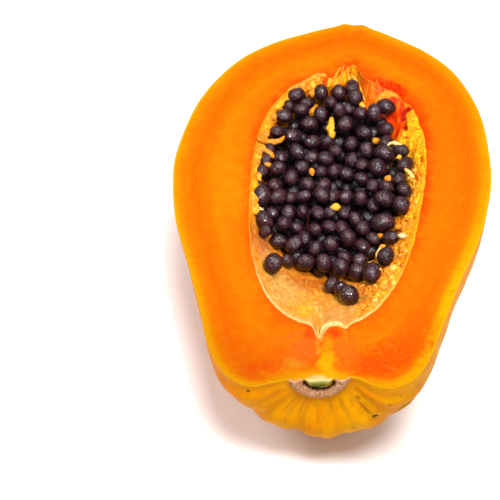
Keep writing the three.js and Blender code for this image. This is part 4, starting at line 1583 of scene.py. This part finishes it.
bed_rings = np.array([bed_ring(share) for share in BED_SHARES])
bed_flat = bed_rings.reshape(-1, 3)
bed_flat[:, 2] += BED_KNOBS * pebbles(bed_flat, 5.5, 30)
bed_rings = bed_flat.reshape(bed_rings.shape)
bed_skirt = bed_rings[-1] - [0, 0, BED_SKIRT]
bed_top = [HEAP_X, HEAP_Y, bed_rings[0, :, 2].mean()]
bed_bottom = [HEAP_X, HEAP_Y, -HOLLOW_DEPTH + 2]
bed_points = np.vstack([bed_top, bed_flat, bed_skirt, bed_bottom])
bed = make_piece(
    "seed_bed",
    bed_points,
    [
        ring_faces(1, len(bed_rings) + 1, BED_COLUMNS)[:, ::-1],
        fan_faces(0, 1, BED_COLUMNS, flip=True),
        fan_faces(len(bed_points) - 1, 1 + len(bed_rings) * BED_COLUMNS, BED_COLUMNS),
    ],
    plan=bed_points,
)
# Near black for the shade in the gaps between the seeds: painted shade. The patches are the jelly's deep red.
jelly = Finish("dark_jelly", Roughness=0.35, Specular_IOR_Level=0.1)
patch = jelly.span(jelly.cloud(jelly.place(), 6, 3), 0.45, 0.65)
jelly.feed("Base Color", jelly.coats((12, 3, 9), (patch, (60, 8, 12))))
jelly.bump(jelly.cloud(jelly.place(), 1.2, 3), 0.4, 0.6)
bed.data.materials.append(jelly.material)
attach(bed, "root")
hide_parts("seed_heap")

# ---- Pulp ----
# Scraps of the soft strings and sacs that held the seeds: lumps between the seeds, tags and curls that reach
# over them from the walls, and torn flames of flesh at the hollow's point. All of it is grown to the lining.
PULP_LIGHT = 0.75  # share of the light that reaches it
ORANGE, AMBER, YELLOW, CREAM = 0.0, 0.3, 0.55, 1.0  # tones
# Where each lump shows in the view, with its width and height there in mm, its turn in degrees, and its tone.
LUMPS_ON_SEEDS = [
    (362, 106, 2.1, 3.4, 0, 0.7), (375, 141, 3.0, 2.7, 20, AMBER), (399, 157, 2.0, 1.8, 0, YELLOW),
    (312, 172, 1.7, 3.2, 5, AMBER), (388, 179, 2.2, 3.2, -30, AMBER), (336, 207, 3.2, 3.0, 0, YELLOW),
    (399, 227, 2.6, 2.5, 0, AMBER), (402, 236, 2.6, 2.2, 0, CREAM), (380, 236, 2.7, 2.0, 0, AMBER),
    (382, 247, 2.4, 2.0, 20, AMBER), (268, 165, 2.7, 2.2, 0, AMBER), (259, 178, 2.0, 3.4, 0, YELLOW),
    (266, 142, 3.0, 2.2, 0, AMBER),
]
# The first lump is cream as a painted highlight on the ragged ledge at the far end of the rim.
LUMPS_ON_WALL = [
    (311, 85, 2.2, 1.4, 20, CREAM), (302, 88, 2.6, 2.0, 20, YELLOW), (293, 91, 2.8, 1.8, 25, AMBER),
    (318, 80, 2.6, 1.8, 35, YELLOW), (412, 200, 2.0, 2.6, 0, YELLOW), (406, 213, 2.2, 2.6, 0, AMBER),
    (397, 249, 2.0, 2.2, 0, YELLOW), (380, 292, 2.2, 2.0, 0, YELLOW), (375, 298, 3.0, 1.8, 20, YELLOW),
]
# Strings of pulp by the places that they pass in the view, with their half thickness at both ends in mm.
STRINGS_ON_SEEDS = [
    ([(332, 117), (331, 123), (330, 130), (332, 138)], 0.8, 1.8, YELLOW),
    ([(329, 99), (330.5, 104), (336, 105)], 0.6, 0.4, CREAM),
    ([(385, 147), (389, 144), (395, 143), (401, 146), (404, 150)], 0.4, 0.7, 0.85),
    ([(307, 214), (308.5, 221), (306, 229)], 0.14, 0.1, -0.9),
    ([(259, 208), (263, 211), (267, 216)], 0.7, 0.3, CREAM),
    ([(376, 258), (377, 252), (381, 248)], 0.3, 0.45, 0.85),
    ([(369, 262), (375, 265), (381, 270)], 0.4, 0.6, 0.8),
    ([(258, 140), (264, 140), (271, 142), (279, 141), (284, 136)], 1.5, 0.6, AMBER),
    ([(257, 149), (264, 149), (270, 153), (274, 158)], 1.4, 0.7, AMBER),
    ([(404, 169), (409, 172), (413, 178)], 0.5, 0.9, 0.8),
    ([(322, 92), (325, 84), (327, 77)], 0.5, 0.8, ORANGE),
]
STRINGS_ON_WALL = [
    ([(331, 86), (335, 77), (341, 67)], 0.8, 0.25, 0.45),
    ([(342, 82), (342, 73), (345, 63)], 0.7, 0.25, AMBER),
    ([(349, 80), (348, 73), (346.5, 64)], 0.6, 0.2, 0.5),
    ([(351, 74), (357, 82), (361, 91), (366, 103)], 0.45, 0.5, 0.6),
    ([(372, 76), (371, 86), (372, 95), (376, 106)], 0.4, 0.4, 0.0),
    ([(376, 78), (379, 88), (382, 97)], 0.4, 0.4, 0.1),
    ([(364, 78), (367, 86), (369, 96)], 0.4, 0.4, -0.1),
    ([(287, 92), (295, 88), (303, 84), (311, 80), (319, 76), (327, 77)], 1.2, 1.1, 0.35),
]
STRINGS_ON_FACE = [
    ([(320.5, 334), (322, 330), (325, 326.5), (331, 324), (338, 323.5), (344.5, 325.5)], 0.6, 0.9, 0.85),
]
ON_SEEDS, ON_WALL = 1.2, 0.6  # how far lumps stand out towards the viewer
OVER_SEEDS, IN_WALL = 2.0, -0.2  # and strings
RAGGED_LEFT = 26  # lumps that make the ragged inner edge of the left wall
RAGGED_RANDOM = 4
pulp_points = []
pulp_faces = []
pulp_tones = []
pulp_count = 0


def face_at(x, y):
    return 0 * x


def wall_at(x, y):
    return wall_height(hollow_share(x, y), x, y)


def add_scrap(points, faces, tone):
    global pulp_count
    pulp_points.append(points)
    pulp_faces.extend(part + pulp_count for part in faces)
    pulp_tones.append(np.full(len(points), tone))
    pulp_count += len(points)


def add_tube(line, radii, tone, sides=12):
    """A closed, lumpy tube along a line of places, tapered to both ends."""
    along = np.gradient(line, axis=0)
    along /= np.linalg.norm(along, axis=1)[:, None]
    side = np.cross(along, np.array(camera_back))
    side /= np.linalg.norm(side, axis=1)[:, None]
    lift = np.cross(side, along)
    angle = np.arange(sides) / sides * TURN
    ring = side[:, None] * np.cos(angle)[None, :, None] + lift[:, None] * np.sin(angle)[None, :, None]
    flat_ring = (line[:, None] + ring * radii[:, None, None]).reshape(-1, 3)
    lumpy = 1 + 0.45 * wander(flat_ring, 3.0, 31) + 0.5 * wander(flat_ring, 1.3, 32)
    lumpy += 0.2 * wander(flat_ring, 0.6, 33)
    points = line[:, None] + ring * (radii[:, None] * lumpy.reshape(len(line), sides))[..., None]
    count = len(line)
    first_end = line[0] - along[0] * radii[0] * 0.4
    last_end = line[-1] + along[-1] * radii[-1] * 0.4
    faces = [
        ring_faces(0, count, sides),
        fan_faces(count * sides, 0, sides),
        fan_faces(count * sides + 1, (count - 1) * sides, sides, flip=True),
    ]
    add_scrap(np.vstack([points.reshape(-1, 3), [first_end, last_end]]), faces, tone)


def add_lump(middle, width, height, turn, tone):
    """A closed lump that is longest along one way in the view."""
    turn = math.radians(turn)
    way = np.array(camera_up * math.cos(turn) - camera_right * math.sin(turn))
    share = np.linspace(-1, 1, 12)
    line = middle + way * (share * height / 2 * 0.92)[:, None]
    add_tube(line, width / 2 * np.sqrt(np.clip(1 - share**2, 0.03, 1)), tone, sides=16)


for lumps, surface, lift in ((LUMPS_ON_SEEDS, heap_height, ON_SEEDS), (LUMPS_ON_WALL, wall_at, ON_WALL)):
    for u, v, width, height, turn, tone in lumps:
        add_lump(seen_on(surface, u, v, lift), width, height, turn, tone)
for strings, surface, lift in (
    (STRINGS_ON_SEEDS, heap_height, OVER_SEEDS),
    (STRINGS_ON_WALL, wall_at, IN_WALL),
    (STRINGS_ON_FACE, face_at, IN_WALL),
):
    for places, thick_start, thick_end, tone in strings:
        passed = np.array([seen_on(surface, u, v, lift) for u, v in places])
        t = np.linspace(0, 1, 8 * len(places))
        taper = np.sqrt(np.clip(1 - (2 * t - 1) ** 4, 0.05, 1))
        radii = (thick_start + (thick_end - thick_start) * t) * taper
        strays = np.stack([wander(passed[0] + t[:, None] * 9, 2, way) for way in (1, 2, 3)], -1)
        line = smooth_line(passed, t) + 0.25 * strays
        add_tube(line, radii, tone)

ragged_draw = np.random.default_rng(RAGGED_RANDOM)
left_ring = hollow_ring(0.965)
left_columns = np.flatnonzero((left_ring[:, 0] < -8) & (left_ring[:, 1] > -8) & (left_ring[:, 1] < 58))
for column in ragged_draw.choice(left_columns, RAGGED_LEFT):
    sunk = ragged_draw.uniform(0.4, 3.0)
    middle_at = left_ring[column] * (1, 1, 0) - [*(out_unit[column] * sunk * 0.5), sunk]
    size = ragged_draw.uniform(1.3, 3.0)
    tone = ragged_draw.choice([AMBER, AMBER, YELLOW, 0.15])
    add_lump(middle_at, size, size * ragged_draw.uniform(0.9, 1.8), ragged_draw.uniform(0, 180), tone)

pulp_places = np.vstack(pulp_points)
pulp = make_piece("papaya_pulp", pulp_places, pulp_faces, plan=pulp_places, tone=np.concatenate(pulp_tones))


def wet_pulp():
    t = Finish("wet_pulp", PULP_LIGHT, Roughness=0.22, Specular_IOR_Level=0.12, Subsurface_Weight=0.2, **SOFT)
    where = t.place()
    tone = t.plus(t.measure("tone"), t.minus(t.times(t.cloud(where, 1.5, 3), 0.5), 0.25))
    t.colour = t.coats((84, 16, 10), (t.span(tone, -0.8, -0.1), (240, 76, 6)))
    t.paint(t.span(tone, -0.05, 0.3), 236, 138, 34)
    t.paint(t.span(tone, 0.25, 0.6), 246, 174, 48)
    t.paint(t.span(tone, 0.65, 1.0), 254, 226, 160)
    t.feed("Base Color", t.colour)
    t.bump(t.cloud(where, 0.8, 4, 0.7), 0.4, 0.7)
    return t.material


pulp.data.materials.append(wet_pulp())
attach(pulp, "root")
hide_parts("papaya_half")

# ---- Floor and light ----
# A plain white table under broad soft light, the strongest of it from above, a little towards the stem end.
FLOOR_HALF = 3.0
ROOM_LIGHT = 0.32
SEED_TOPS = (0, 0, 0.04)  # what the lights are aimed at
floor_mesh = bpy.data.meshes.new("floor")
corners = np.array([(-1, -1, 0), (1, -1, 0), (1, 1, 0), (-1, 1, 0)]) * FLOOR_HALF
floor_mesh.from_pydata(corners.tolist(), [], [(0, 1, 2, 3)])
white_table = Finish("white_table", Roughness=0.6, Specular_IOR_Level=0.1, Base_Color=(0.92, 0.9, 0.9, 1))
floor_mesh.materials.append(white_table.material)
floor = put_in_scene("floor", floor_mesh)


def add_light(name, kind, at, aim, **settings):
    data = bpy.data.lights.new(name, kind)
    for key, value in settings.items():
        setattr(data, key, value)
    light = put_in_scene(name, data)
    light.location = at
    light.rotation_euler = (Vector(aim) - Vector(at)).to_track_quat("-Z", "Y").to_euler()


for name, at, size, power in (
    ("overhead", (0.06, -0.29, 0.95), 0.42, 14),
    ("side", (-0.62, -0.14, 0.72), 0.35, 3.5),
    ("front", (0.1, -0.85, 0.55), 0.5, 0.8),
    ("far_side", (-0.1, 0.6, 0.8), 0.4, 1.6),
):
    add_light(name, "AREA", at, SEED_TOPS, shape="DISK", size=size, energy=power)

# A narrow light from near the camera makes the wet seeds glint.
GLINT_FROM = (0.16, -0.52, 0.78)
GLINT_TO = (0.004, 0.012, 0.045)
narrow = {"spot_size": math.radians(11), "spot_blend": 1.0, "shadow_soft_size": 0.016}
add_light("glint", "SPOT", GLINT_FROM, GLINT_TO, energy=56, **narrow)

world = bpy.data.worlds.new("studio")
world.use_nodes = True
room = world.node_tree.nodes["Background"].inputs
room["Color"].default_value = (1, 0.93, 0.91, 1)
room["Strength"].default_value = ROOM_LIGHT
bpy.context.scene.world = world
bpy.context.scene.view_settings.view_transform = "Standard"
